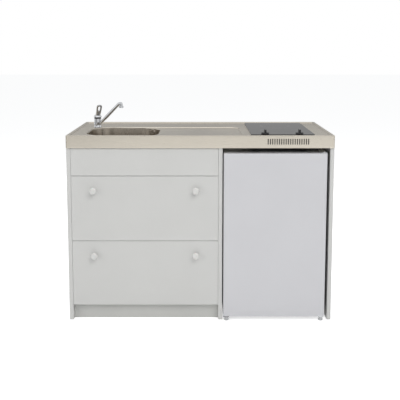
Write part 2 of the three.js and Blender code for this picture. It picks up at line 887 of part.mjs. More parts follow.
/** The mixer, built on its own axis and turned to where it stands. */
function buildTap() {
  const base = new THREE.Group();
  base.position.set(tapX, tapY, deckTop);
  group.add(base);
  const bodyRadius = tapBody / 2;
  const neckRadius = tapNeck / 2;
  const well = stemRadius + seatGap;
  add(
    'tap_body',
    turn([
      [0, seatGap],
      [tapBase / 2, seatGap],
      [tapBase / 2, seatGap + 3],
      [bodyRadius + 1, seatGap + 6],
      [bodyRadius, spoutRingLow],
      [neckRadius, spoutRingLow],
      [neckRadius, spoutRingHigh],
      [bodyRadius + 1, spoutRingHigh],
      [bodyRadius + 1, spoutRingHigh + 2],
      [bodyRadius, tapBodyTop],
      [well, tapBodyTop],
      [well, tapBodyTop - stemDepth],
      [0, tapBodyTop - stemDepth],
    ]),
    chrome(),
    base,
  );

  const shankRadius = tapShank / 2;
  const nutHigh = -sheet - recessDepth - 3;
  const nutLow = nutHigh - fixingNut;
  add(
    'tap_fixing',
    turn([
      [0, -fixingLength],
      [shankRadius - 2, -fixingLength],
      [shankRadius - 2, nutLow],
      [shankRadius + fixingNutFlange, nutLow],
      [shankRadius + fixingNutFlange, nutHigh],
      [shankRadius, nutHigh],
      [shankRadius, 0],
      [0, 0],
    ], 16),
    chrome(),
    base,
  );

  buildSpout(base);
  buildLever(base);
}

/** A tube that rises to its crown and turns down into the aerator, on a ring round the tap's neck. */
function buildSpout(base) {
  const arm = new THREE.Group();
  arm.rotation.z = degrees(tapYaw);
  base.add(arm);
  const boreRadius = tapNeck / 2 + seatGap;
  const low = spoutRingLow + seatGap;
  const high = spoutRingHigh - seatGap;
  const ringRadius = tapBody / 2 + spoutRingWall;
  const ring = turn([
    [boreRadius, low],
    [ringRadius - 1, low],
    [ringRadius, low + 1],
    [ringRadius, high - 1],
    [ringRadius - 1, high],
    [boreRadius, high],
    [boreRadius, low],
  ]);
  const start = new THREE.Vector3(boreRadius + 6, 0, (low + high) / 2 - 1);
  const turnStart = new THREE.Vector3(spoutReach - spoutCrown, 0, spoutRise);
  const bend = new THREE.QuadraticBezierCurve3(
    turnStart,
    new THREE.Vector3(spoutReach - 1, 0, spoutRise + 2 * spoutArch),
    new THREE.Vector3(spoutReach, 0, spoutRise),
  );
  const outletTop = spoutRise - spoutTip;
  const end = new THREE.Vector3(spoutReach, 0, outletTop);
  const points = [start, start.clone().lerp(turnStart, 0.5), ...bend.getPoints(6), end];
  const startRadius = (high - low - 1) / 2;
  const radii = points.map((_, i) => [startRadius, spoutRoot][i] ?? spoutTip);
  const tube = bar(points, radii, new THREE.Vector3(0, 1, 0), 12);
  const neckBore = pin(0, 0, low - slack, high + slack, 2 * boreRadius, 24);
  add('tap_spout', carve(ring, { added: [tube], removed: [neckBore] }), chrome(), arm);

  const radius = aeratorDiameter / 2;
  const aeratorTop = outletTop - seatGap;
  const aeratorLow = aeratorTop - aeratorLength;
  add(
    'tap_aerator',
    turn([
      [0, aeratorLow + 3],
      [radius - 3, aeratorLow + 3],
      [radius - 3, aeratorLow],
      [radius, aeratorLow],
      [radius, aeratorTop - 6],
      [radius - 2, aeratorTop - 4],
      [radius - 2, aeratorTop - 1],
      [radius - 3, aeratorTop],
      [0, aeratorTop],
    ], 16).translate(spoutReach, 0, 0),
    chrome(),
    arm,
  );
}

/** Profile points of the upper part of a ball about the tilt axis, from the height `low` to its top. */
function domeProfile(radius, low) {
  const steps = 5;
  const start = Math.asin((low - ballHeight) / radius);
  return Array.from({ length: steps + 1 }, (_, i) => {
    const angle = THREE.MathUtils.lerp(start, Math.PI / 2, i / steps);
    const reach = i === steps ? 0 : radius * Math.cos(angle);
    return [reach, ballHeight + radius * Math.sin(angle)];
  });
}

/** The turning ball and the lever that tilts on it: a dome with a flat handle that has a loop. */
function buildLever(base) {
  const arm = new THREE.Group();
  arm.rotation.z = degrees(leverYaw);
  base.add(arm);
  const ballLow = tapBodyTop + seatGap;
  const stemLow = ballLow - stemDepth;
  const stem = [[0, stemLow], [stemRadius, stemLow], [stemRadius, ballLow]];
  add('tap_cartridge', turn([...stem, ...domeProfile(ballRadius, ballLow)]), darkSteel(), arm);

  const innerRadius = ballRadius + ballGap;
  const outerRadius = innerRadius + leverWall;
  const skirt = ballHeight + leverSkirt;
  const inside = domeProfile(innerRadius, skirt).reverse();
  const shell = turn([...inside, ...domeProfile(outerRadius, skirt)]);
  const half = leverWidth / 2;
  const rootHalf = leverRootWidth / 2;
  const paddle = roundedOutline([
    [0, -rootHalf, rootHalf / 2],
    [leverLength, -half, half - 1],
    [leverLength, half, half - 1],
    [0, rootHalf, rootHalf / 2],
  ]);
  const loopEnd = leverLength - loopTip;
  const loopHalf = loopWidth / 2;
  paddle.holes.push(
    roundedRectangle(loopEnd - loopLength, loopEnd, -loopHalf, loopHalf, loopHalf - 0.1),
  );
  const handle = extrude(paddle, leverThickness, 3)
    .translate(outerRadius * 0.4, 0, -leverThickness / 2)
    .rotateY(-degrees(leverSlope))
    .translate(0, 0, ballHeight + outerRadius * 0.3);
  const cavity = new THREE.SphereGeometry(innerRadius, 18, 8).translate(0, 0, ballHeight);
  const trimmed = carve(handle, { removed: [cavity] });
  add('tap_lever', carve(shell, { added: [trimmed] }), chrome(), arm);
}

// ---- Hob ---------------------------------------------------------------------------------------

function buildHob() {
  const knobPlaces = [hobCentreX - hobKnobSpacing / 2, hobCentreX + hobKnobSpacing / 2];
  const shaftHoles = knobPlaces.map((x) =>
    pin(x, hobKnobY, glassLow - slack, glassTop + slack, hobShaft + shaftClearance, 16),
  );
  const glassOutline = roundedRectangle(hobLeft, hobRight, hobFront, hobRear, hobCorner);
  const plate = raise(glassOutline, glassLow, glassTop);
  add('hob_glass', carve(plate, { removed: shaftHoles }), blackGlass());

  const inset = hobBearing + casingClearance;
  const trayTop = glassLow - seatGap;
  const trayLow = trayTop - casingDepth;
  const shell = tray(
    hobLeft + inset,
    hobRight - inset,
    hobFront + inset,
    hobRear - inset,
    trayLow,
    trayTop,
    sheet,
    4,
  );
  const zoneLow = trayTop - seatGap - zoneHeight;
  const fittings = knobPlaces.map((x) =>
    box(
      x - regulatorSize / 2,
      x + regulatorSize / 2,
      hobKnobY - regulatorSize / 2,
      hobKnobY + regulatorSize / 2,
      trayLow + sheet / 2,
      trayLow + regulatorHeight,
    ),
  );
  add('hob_casing', carve(shell, { added: fittings }), steelSheet());
  const zoneSeat = trayLow + sheet + seatGap;
  addZone('hob_element_front', frontZoneY, frontZoneDiameter, zoneSeat, zoneLow);
  addZone('hob_element_rear', rearZoneY, rearZoneDiameter, zoneSeat, zoneLow);

  const shaftLow = trayLow + regulatorHeight + seatGap;
  addHobKnob('hob_knob_left', knobPlaces[0], shaftLow);
  addHobKnob('hob_knob_right', knobPlaces[1], shaftLow);
}

/** A radiant element: a dish whose insulating rim is held up to the glass by the spring under it. */
function addZone(name, y, diameter, seat, low) {
  const radius = diameter / 2;
  const high = low + zoneHeight;
  const dish = turn([
    [0, seat],
    [zoneFoot / 2, seat],
    [zoneFoot / 2, low],
    [radius - 4, low],
    [radius, low + 4],
    [radius, high],
    [radius - zoneWall, high],
    [radius - zoneWall, low + zoneFloor],
    [0, low + zoneFloor],
  ], 24);
  add(name, dish.translate(hobCentreX, y, 0), darkSteel());
}

function addHobKnob(name, x, shaftLow) {
  const radius = hobKnobDiameter / 2;
  const low = glassTop + seatGap;
  const high = low + hobKnobHeight;
  const shoulder = low + 7;
  const body = turn([
    [0, shaftLow],
    [hobShaft / 2, shaftLow],
    [hobShaft / 2, low],
    [radius, low],
    [radius, low + 2],
    [radius - 1.5, shoulder - 1],
    [radius - 4, shoulder],
    [0, shoulder],
  ]);
  const ridge = roundedOutline([
    [-radius + 1, shoulder - 2, 0],
    [radius - 1, shoulder - 2, 0],
    [radius - 3, high, 5],
    [-radius + 3, high, 5],
  ]);
  const grip = runAcross(ridge, -hobKnobGrip / 2, hobKnobGrip / 2, 4);
  add(name, carve(body, { added: [grip] }).translate(x, hobKnobY, 0), blackPlastic());
}

// ---- Drawers -----------------------------------------------------------------------------------

/** A fixed runner: a C-section with its open side to the drawer. */
function addRunner(name, face, inward, low) {
  const at = (depth) => face + inward * depth;
  const outer = seatGap;
  const web = seatGap + drawerSheet;
  const high = low + runnerHeight;
  const outline = roundedOutline([
    [at(outer), low],
    [at(runnerReach), low],
    [at(runnerReach), low + drawerSheet],
    [at(web), low + drawerSheet],
    [at(web), high - drawerSheet],
    [at(runnerReach), high - drawerSheet],
    [at(runnerReach), high],
    [at(outer), high],
  ]);
  const front = frontBack + runnerSetback;
  add(name, runBack(outline, front, front + runnerLength), steelSheet());
}

/** A folded drawer side: a tongue that runs in the runner, a ledge for the bottom and a rolled lip. */
function addDrawerSide(name, face, inward, low) {
  const at = (depth) => face + inward * depth;
  const tongue = seatGap + drawerSheet + tonguePlay;
  const foot = low + drawerSheet + seatGap;
  const high = low + drawerSideHeight;
  const webIn = sideStandOff + drawerSheet;
  const lip = webIn + lipWidth;
  const outline = roundedOutline([
    [at(tongue), foot],
    [at(webIn + bottomLedge), foot],
    [at(webIn + bottomLedge), foot + drawerSheet],
    [at(webIn), foot + drawerSheet],
    [at(webIn), high - drawerSheet],
    [at(lip - drawerSheet), high - drawerSheet],
    [at(lip - drawerSheet), high - lipDrop],
    [at(lip), high - lipDrop],
    [at(lip), high, 1.2],
    [at(sideStandOff), high, 1.2],
    [at(sideStandOff), foot + drawerSheet],
    [at(tongue), foot + drawerSheet],
  ]);
  const front = frontBack + seatGap;
  add(name, runBack(outline, front, front + runnerLength, 3), steelSheet());
}

/** A turned mushroom knob, screwed to a front. */
function addKnob(name, x, z) {
  const radius = knobDiameter / 2;
  const foot = knobFoot / 2;
  const neck = knobNeck / 2;
  const out = knobProjection;
  const knob = turn([
    [0, seatGap],
    [foot, seatGap],
    [foot - 0.5, out * 0.1],
    [neck, out * 0.25],
    [neck + 0.8, out * 0.43],
    [radius - 1.5, out * 0.57],
    [radius, out * 0.68],
    [radius - 1, out * 0.82],
    [radius - 5.5, out - 1],
    [0, out],
  ], 16);
  add(name, knob.rotateX(Math.PI / 2).translate(x, carcassFront, z), whitePlastic());
}

function buildDrawer(prefix, low, height) {
  const high = low + height;
  const faceLeft = cabinetLeft + sideReveal;
  const faceRight = cabinetRight - sideReveal;
  const face = box(faceLeft, faceRight, carcassFront, frontBack, low, high);
  add(`${prefix}_drawer_front`, face, whiteBoard());
  const runnerLow = low + runnerLift;
  addRunner(`runner_${prefix}_left`, cabinetLeft, 1, runnerLow);
  addRunner(`runner_${prefix}_right`, cabinetRight, -1, runnerLow);
  addDrawerSide(`${prefix}_drawer_left_side`, cabinetLeft, 1, runnerLow);
  addDrawerSide(`${prefix}_drawer_right_side`, cabinetRight, -1, runnerLow);

  const inset = sideStandOff + drawerSheet + seatGap;
  const bottomLow = runnerLow + 2 * drawerSheet + 2 * seatGap;
  const front = frontBack + seatGap;
  const rear = front + runnerLength;
  const backFront = rear - drawerBoard;
  add(
    `${prefix}_drawer_bottom`,
    box(
      cabinetLeft + inset,
      cabinetRight - inset,
      front,
      backFront - seatGap,
      bottomLow,
      bottomLow + drawerBoard,
    ),
    whiteBoard(),
  );
  add(
    `${prefix}_drawer_back`,
    box(
      cabinetLeft + inset,
      cabinetRight - inset,
      backFront,
      rear,
      bottomLow,
      bottomLow + drawerBoard + drawerBackHeight,
    ),
    whiteBoard(),
  );
  addKnob(`${prefix}_drawer_knob_left`, cabinetCentre - knobSpacing / 2, high - knobDrop);
  addKnob(`${prefix}_drawer_knob_right`, cabinetCentre + knobSpacing / 2, high - knobDrop);
}

// ---- Refrigerator ------------------------------------------------------------------------------

function buildFridgeCabinet() {
  const outer = raise(
    roundedRectangle(fridgeLeft, fridgeRight, fridgeFront, fridgeRear, 4),
    fridgeLow,
    doorHigh,
    2,
  );
  const cavity = roundedOutline(
    [
      [fridgeFront - slack, innerLow, 0],
      [stepFront, innerLow],
      [stepFront, stepTop],
      [innerRear, stepTop],
      [innerRear, innerHigh],
      [fridgeFront - slack, innerHigh, 0],
    ],
    linerFillet,
  );
  const machineBay = box(
    fridgeLeft + fridgeWall / 3,
    fridgeRight - fridgeWall / 3,
    fridgeRear - machineDepth,
    fridgeRear + slack,
    fridgeLow + basePlate,
    fridgeLow + basePlate + machineHeight,
  );
  const ledges = [];
  for (const height of [shelfHeight, crisperCoverHeight]) {
    const low = height - seatGap - ledgeHeight;
    const high = low + ledgeHeight;
    const front = shelfStart + shelfTrim;
    const rear = innerRear - linerFillet;
    ledges.push(box(innerLeft - slack, innerLeft + ledgeWidth, front, rear, low, high));
    ledges.push(box(innerRight - ledgeWidth, innerRight + slack, front, rear, low, high));
  }
  const skidRear = fridgeRear - skidRearInset;
  const skids = [fridgeLeft + skidInset, fridgeRight - skidInset - skidWidth].map((x) =>
    box(x, x + skidWidth, skidRear - skidLength, skidRear, 0, fridgeLow + slack),
  );
  const bracketRight = fridgeLeft + hingeWidth;
  const bracketFront = doorFront + bracketStart;
  const bracketRear = fridgeFront + bracketTail;
  const block = fridgeFront + bracketStart;
  const footBracket = [
    box(fridgeLeft, bracketRight, bracketFront, bracketRear, bracketLow, bracketHigh),
    box(fridgeLeft, bracketRight, block, bracketRear, bracketLow, fridgeLow + slack),
  ];
  const hollow = carve(outer, { removed: [runAcross(cavity, innerLeft, innerRight, 4), machineBay] });
  add('fridge_cabinet', carve(hollow, { added: [...ledges, ...skids, ...footBracket] }), fridgePaint());
}

/** A sheet of glass with a bar moulded along its front edge. */
function shelf(height) {
  const glassRear = innerRear - linerFillet;
  const plate = box(shelfLeft, shelfRight, shelfStart, glassRear, height, height + shelfGlass);
  const front = shelfStart - shelfBarDepth;
  const rear = shelfStart + shelfTrim - seatGap;
  const low = height - shelfBarDrop;
  const high = height + shelfGlass + shelfBarRise;
  const outline = roundedOutline([
    [front, low, 2],
    [rear, low, 0],
    [rear, high, 2],
    [front, high, 2],
  ]);
  return carve(plate, { added: [runAcross(outline, shelfLeft, shelfRight, 2)] });
}

function buildFridgeInside() {
  add('fridge_shelf', shelf(shelfHeight), clearPlastic());
  add('crisper_cover', shelf(crisperCoverHeight), clearPlastic());
  add(
    'fridge_crisper',
    tray(
      shelfLeft + crisperPlay,
      shelfRight - crisperPlay,
      shelfStart,
      stepFront - linerFillet,
      innerLow + seatGap,
      innerLow + crisperHeight,
      trayWall,
      14,
    ),
    clearPlastic(),
  );

  buildThermostat();
}

/** The housing under the cabinet's ceiling, and the dial that hangs from it. */
function buildThermostat() {
  const housingHigh = innerHigh - seatGap;
  const housingLow = housingHigh - thermostatHeight;
  const front = shelfStart + thermostatSetback;
  const left = fridgeCentre - thermostatWidth / 2;
  const right = fridgeCentre + thermostatWidth / 2;
  const outline = roundedOutline([
    [left, housingLow, 8],
    [right, housingLow, 8],
    [right, housingHigh, 0],
    [left, housingHigh, 0],
  ]);
  add('thermostat_housing', runBack(outline, front, front + thermostatDepth, 3), whitePlastic());

  const dialTop = housingLow - seatGap;
  const dialLow = dialTop - dialHeight;
  const dial = turn([
    [0, dialLow],
    [dialRadius - 5, dialLow],
    [dialRadius - 2, dialLow + 2],
    [dialRadius, dialTop - 3],
    [dialRadius, dialTop],
    [0, dialTop],
  ], 18);
  const pointer = box(-1.5, 1.5, -dialRadius - 1.5, -dialRadius / 2, dialTop - 3, dialTop);
  const knob = carve(dial, { added: [pointer] });
  knob.translate(fridgeCentre + dialOffset, front + thermostatDepth / 2, 0);
  add('thermostat_knob', knob, greyPlastic());
}

/** The compressor in its bay, and the condenser tube that runs to and fro over the back. */
function buildMachinery() {
  const radius = compressorDiameter / 2;
  const low = fridgeLow + basePlate + seatGap;
  const mid = low + compressorHeight * 0.52;
  const high = low + compressorHeight;
  const pot = turn([
    [0, low + 8],
    [radius * 0.5, low + 8],
    [radius * 0.88, low + 20],
    [radius - 3, low + 40],
    [radius - 3, mid - 3],
    [radius, mid - 3],
    [radius, mid + 3],
    [radius - 3, mid + 3],
    [radius - 4, high - 34],
    [radius * 0.84, high - 14],
    [radius * 0.5, high - 3],
    [0, high],
  ], 18);
  const feet = box(-radius * 0.8, radius * 0.8, -radius * 0.45, radius * 0.45, low, low + 12);
  const compressor = carve(pot, { added: [feet] });
  compressor.translate(fridgeCentre + compressorOffset, fridgeRear - machineDepth / 2, 0);
  add('fridge_compressor', compressor, darkSteel());

  const tubeRadius = condenserTube / 2;
  const plane = fridgeRear + seatGap + tubeRadius;
  const left = fridgeLeft + condenserInset;
  const right = fridgeRight - condenserInset;
  const lowest = doorHigh - fridgeWall - (condenserRuns - 1) * condenserPitch;
  const bendRadius = condenserPitch / 2;
  const points = [];
  for (let run = 0; run < condenserRuns; run += 1) {
    const height = lowest + run * condenserPitch;
    const outward = run % 2 === 0 ? 1 : -1;
    const start = outward > 0 ? left : right;
    const end = outward > 0 ? right : left;
    points.push(new THREE.Vector3(start, plane, height));
    points.push(new THREE.Vector3(end, plane, height));
    if (run === condenserRuns - 1) {
      break;
    }
    for (let k = 1; k < 5; k += 1) {
      const angle = -Math.PI / 2 + (Math.PI * k) / 5;
      points.push(
        new THREE.Vector3(
          end + outward * bendRadius * Math.cos(angle),
          plane,
          height + bendRadius + bendRadius * Math.sin(angle),
        ),
      );
    }
  }
  const radii = points.map(() => tubeRadius);
  add('fridge_condenser', bar(points, radii, new THREE.Vector3(0, 1, 0), 6), darkSteel());
}

function buildHinges() {
  const left = fridgeRight - hingeWidth;
  const right = fridgeRight - 1;
  const front = hingeY - hingeNose;
  const rear = fridgeFront + hingeTail;
  const topLow = doorHigh + seatGap;
  const outline = roundedOutline([
    [left, front, 8],
    [right, front, 4],
    [right, rear, 3],
    [left, rear, 3],
  ]);
  const plate = raise(outline, topLow, topLow + hingePlate);
  const upperPin = pin(hingeX, hingeY, doorHigh - pinLength, topLow + hingePlate, hingePin);
  const boss = pin(hingeX, hingeY, topLow, topLow + hingePlate + 2.5, hingePin + 7, 20);
  add('fridge_upper_hinge', carve(plate, { added: [upperPin, boss] }), steelSheet());

  const bracketRear = fridgeFront + bracketTail;
  const lower = box(left, right, doorFront + bracketStart, bracketRear, bracketLow, bracketHigh);
  const block = box(
    left,
    right,
    fridgeFront + bracketStart,
    bracketRear,
    bracketLow,
    fridgeLow - seatGap,
  );
  const lowerPin = pin(hingeX, hingeY, bracketLow, doorLow + pinLength, hingePin);
  add('fridge_lower_hinge', carve(lower, { added: [block, lowerPin] }), steelSheet());

  const footPlace = footInset + footDiameter / 2;
  addFoot('fridge_foot_left', fridgeLeft + footPlace, bracketLow - seatGap);
  addFoot('fridge_foot_right', fridgeRight - footPlace, bracketLow - seatGap);
}

function addFoot(name, x, high) {
  const radius = footDiameter / 2;
  const foot = turn([
    [0, 0],
    [radius - 1, 0],
    [radius, 1],
    [radius, 8],
    [radius - 2.5, 10],
    [radius - 2.5, 12],
    [radius - 0.5, 13],
    [radius - 0.5, high],
    [0, high],
  ], 14);
  add(name, foot.translate(x, doorFront + footDiameter / 2 + footSetback, 0), greyPlastic());
}

function buildFridgeDoor() {
  const panel = raise(
    roundedRectangle(fridgeLeft, fridgeRight, doorFront, doorBack, doorEdge),
    doorLow,
    doorHigh,
    4,
  );
  const holeDiameter = hingePin + 2 * pinClearance;
  const holes = [
    pin(hingeX, hingeY, doorHigh - pinLength - slack, doorHigh + slack, holeDiameter),
    pin(hingeX, hingeY, doorLow - slack, doorLow + pinLength + slack, holeDiameter),
  ];
  const ribInset = gasketInset + gasketWidth + linerRibGap;
  const ribLow = doorLow + linerRibEnd;
  const ribHigh = doorHigh - linerRibEnd;
  const rib = (x0, x1) =>
    runAcross(
      roundedOutline([
        [doorBack - slack, ribLow, 0],
        [doorBack + linerRibDepth, ribLow, 10],
        [doorBack + linerRibDepth, ribHigh, 10],
        [doorBack - slack, ribHigh, 0],
      ]),
      x0,
      x1,
      3,
    );
  const binRight = fridgeRight - ribInset - linerRib;
  const binLeft = fridgeLeft + ribInset + linerRib;
  const ribs = [
    rib(binLeft - linerRib, binLeft),
    rib(binRight, binRight + linerRib),
  ];
  add('fridge_door', carve(panel, { added: ribs, removed: holes }), fridgePaint());

  const frame = (inset, width) => {
    const outline = roundedRectangle(
      fridgeLeft + inset,
      fridgeRight - inset,
      doorLow + inset,
      doorHigh - inset,
      6,
    );
    const hole = inset + width;
    outline.holes.push(
      roundedRectangle(fridgeLeft + hole, fridgeRight - hole, doorLow + hole, doorHigh - hole, 3),
    );
    return outline;
  };
  const sealFront = doorBack + seatGap;
  const sealRear = sealFront + gasketDepth;
  const strip = (width, from, to) =>
    runBack(frame(gasketInset + (gasketWidth - width) / 2, width), from, to, 2);
  const seat = strip(gasketWidth, sealFront, sealFront + gasketSeat);
  const bellows = strip(gasketBellows, sealFront, sealRear - 3);
  const magnet = strip(gasketWidth - 4, sealRear - gasketMagnet, sealRear);
  add('door_gasket', carve(seat, { added: [bellows, magnet] }), greyRubber());

  const addBin = (name, low) => {
    const shell = tray(
      binLeft + seatGap,
      binRight - seatGap,
      doorBack + seatGap,
      doorBack + binDepth,
      low,
      low + binHeight,
      trayWall,
      10,
    );
    add(name, shell, clearPlastic());
  };
  addBin('door_bin_lower', lowerBinLevel);
  addBin('door_bin_upper', upperBinLevel);
}

buildCarcass();
buildWorktop();
buildSink();
buildTap();
buildHob();
buildDrawer('upper', upperFrontLow, upperFrontHeight);
buildDrawer('lower', lowerFrontLow, lowerFrontHeight);
buildFridgeCabinet();
buildFridgeInside();
buildMachinery();
buildHinges();
buildFridgeDoor();

export default group;
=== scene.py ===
"""The looks of a 1.2 m kitchenette: a two-drawer cabinet and a small refrigerator under a pressed
stainless worktop with a bowl, a mixer tap and a two-zone glass hob.
Metres, +X right, +Y to the wall, +Z up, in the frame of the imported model."""

import json
import math

import bmesh
import bpy
from mathutils import Matrix, Vector

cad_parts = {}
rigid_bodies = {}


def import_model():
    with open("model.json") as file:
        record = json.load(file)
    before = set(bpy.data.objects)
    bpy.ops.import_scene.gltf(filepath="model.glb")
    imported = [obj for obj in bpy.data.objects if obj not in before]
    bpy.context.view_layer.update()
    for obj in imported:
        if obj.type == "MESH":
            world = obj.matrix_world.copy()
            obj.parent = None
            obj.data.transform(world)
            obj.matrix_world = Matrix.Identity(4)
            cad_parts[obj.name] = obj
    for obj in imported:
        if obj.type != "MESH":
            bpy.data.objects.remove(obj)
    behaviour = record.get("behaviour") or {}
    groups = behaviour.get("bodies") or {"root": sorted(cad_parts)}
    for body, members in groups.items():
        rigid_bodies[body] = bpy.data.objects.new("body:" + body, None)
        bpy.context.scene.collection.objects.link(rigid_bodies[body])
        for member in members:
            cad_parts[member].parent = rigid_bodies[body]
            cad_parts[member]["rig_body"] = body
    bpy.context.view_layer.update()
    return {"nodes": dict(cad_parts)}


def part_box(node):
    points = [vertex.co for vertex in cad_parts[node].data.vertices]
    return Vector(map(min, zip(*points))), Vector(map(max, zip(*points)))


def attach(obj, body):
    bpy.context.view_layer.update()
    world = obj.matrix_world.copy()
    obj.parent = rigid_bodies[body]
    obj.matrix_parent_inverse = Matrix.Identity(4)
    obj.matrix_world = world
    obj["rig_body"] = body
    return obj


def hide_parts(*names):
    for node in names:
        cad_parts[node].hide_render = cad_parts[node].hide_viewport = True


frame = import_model()

MM = 0.001
SCENE = bpy.context.scene
NODES = frame["nodes"]
SIDES = ("left", "right")

# ---- The camera, from the photograph ----

CAMERA_DISTANCE = 3.2  # in front of the worktop's front edge
CAMERA_X = -0.001
CAMERA_HEIGHT = 1.244
CAMERA_PITCH = 7.28  # degrees down
CAMERA_SHIFT = -0.15
LENS = 65.3
SENSOR = 36.0

# ---- Sizes that the looks share with the construction, in millimetres ----

SHEET = 1.2
BOWL_SHEET = 1.0
RIM_WIDTH = 14
RIM_SLOPE = 4
RIM_HEIGHT = 5
HEM_WIDTH = 16
OUTER_CORNER = 6
RIM_CORNER = 12
RECESS_DEPTH = 4
RECESS_SLOPE = 2
RECESS_MARGIN = 4
DRAINER_TO_HOB = 40
DRAINER_CORNER = 40
BOWL_CORNER = 100
BOWL_DRAFT = 10
BOWL_FILLET = 36
BOWL_FLANGE = 7
BOWL_TOP = (0.25, -5.3)  # the upper end of the bowl's wall, under the lip
WASTE_HOLE = 90
HOB_BEARING = 9
HOB_CORNER = 2
TAP_HOLE = 13
SLOT_COUNT = 19
SLOT_PITCH = 10
SLOT_WIDTH = 4.5
SLOT_HEIGHT = 27
SLOT_OFFSET = 19
SLOT_LOW = 16
RIM_STEPS, RECESS_STEPS, BOWL_STEPS = 6, 14, 16  # chords in each rounded corner


# ---- Node materials ----


def shade(color, factor):
    """A linear colour, lighter or darker."""
    return tuple(min(1.0, channel * factor) for channel in color) + (1.0,)


def add_node(tree, kind, inputs, **settings):
    """A shader node; each input gets its value, or a link from the output given for it."""
    node = tree.nodes.new(f"ShaderNode{kind}")
    for name, setting in settings.items():
        setattr(node, name, setting)
    for socket, value in inputs.items():
        if isinstance(value, bpy.types.NodeSocket):
            tree.links.new(value, node.inputs[socket])
        else:
            node.inputs[socket].default_value = value
    return node


EVEN = (1, 1, 1)  # no stretch
NOISE_ROUGHNESS = 0.55
NOISE_RANGE = (0.3, 0.7)  # where nearly all of the noise lies
BUMP_STRENGTH = 0.6
EDGE_RANGE = (0.75, 0.99)  # how far a bevelled normal and the true one agree, on an edge and off it
MIX_FIRST, MIX_SECOND, MIX_RESULT = 6, 7, 2  # the colour sockets of a Mix node


class Finish:
    """A procedural material: one shader, and the textures that feed it."""

    def __init__(self, name, color, roughness, metallic=0.0):
        self.material = bpy.data.materials.new(name)
        self.material.use_nodes = True
        self.tree = self.material.node_tree
        self.shader = self.tree.nodes["Principled BSDF"]
        self.color = color
        self.set({"Base Color": shade(color, 1), "Roughness": roughness, "Metallic": metallic})
        self.place = self.add("TexCoord", {}).outputs["Object"]

    def set(self, values):
        for socket, value in values.items():
            self.shader.inputs[socket].default_value = value
        return self

    def add(self, kind, inputs, **settings):
        return add_node(self.tree, kind, inputs, **settings)

    def feed(self, socket, output):
        self.tree.links.new(output, self.shader.inputs[socket])
        return self

    def noise(self, scale, stretch, detail=4.0):
        """Noise of `scale` features a metre, drawn out where `stretch` is small."""
        place = self.add("Mapping", {"Scale": stretch, "Vector": self.place}).outputs["Vector"]
        inputs = {"Scale": scale, "Detail": detail, "Roughness": NOISE_ROUGHNESS, "Vector": place}
        return self.add("TexNoise", inputs).outputs["Fac"]

    def spread(self, value, low, high, given=NOISE_RANGE):
        """The value in the range `given`, spread from `low` to `high`."""
        ends = {"From Min": given[0], "From Max": given[1], "To Min": low, "To Max": high}
        return self.add("MapRange", {"Value": value, **ends}).outputs["Result"]

    def mix(self, factor, first, second):
        """A colour between two, each a colour or an output."""
        inputs = {"Factor": factor, MIX_FIRST: first, MIX_SECOND: second}
        return self.add("Mix", inputs, data_type="RGBA").outputs[MIX_RESULT]

    def tone(self, scale, low, high, stretch=EVEN):
        """Lighter and darker patches."""
        patches = self.spread(self.noise(scale, stretch), 0, 1)
        self.base = self.mix(patches, shade(self.color, low), shade(self.color, high))
        return self.feed("Base Color", self.base)

    def gloss(self, scale, low, high, stretch=EVEN):
        """Glossier and duller patches."""
        return self.feed("Roughness", self.spread(self.noise(scale, stretch), low, high))

    def grain(self, scale, height, stretch=EVEN, detail=3.0):
        """Fine relief, `height` millimetres deep."""
        relief = self.noise(scale, stretch, detail)
        inputs = {"Strength": BUMP_STRENGTH, "Distance": height * MM, "Height": relief}
        return self.feed("Normal", self.add("Bump", inputs).outputs["Normal"])

    def edge_wear_and_highlight(self, factor, reach):
        """Edges a little lighter or darker, `reach` millimetres wide: a painted highlight where
        edges would catch the light, together with edge wear.
        """
        rounded = self.add("Bevel", {"Radius": reach * MM}).outputs["Normal"]
        true = self.add("NewGeometry", {}).outputs["Normal"]
        agreement = self.add("VectorMath", {0: rounded, 1: true}, operation="DOT_PRODUCT")
        edge = self.spread(agreement.outputs["Value"], 1, 0, EDGE_RANGE)
        return self.feed("Base Color", self.mix(edge, self.base, shade(self.color, factor)))
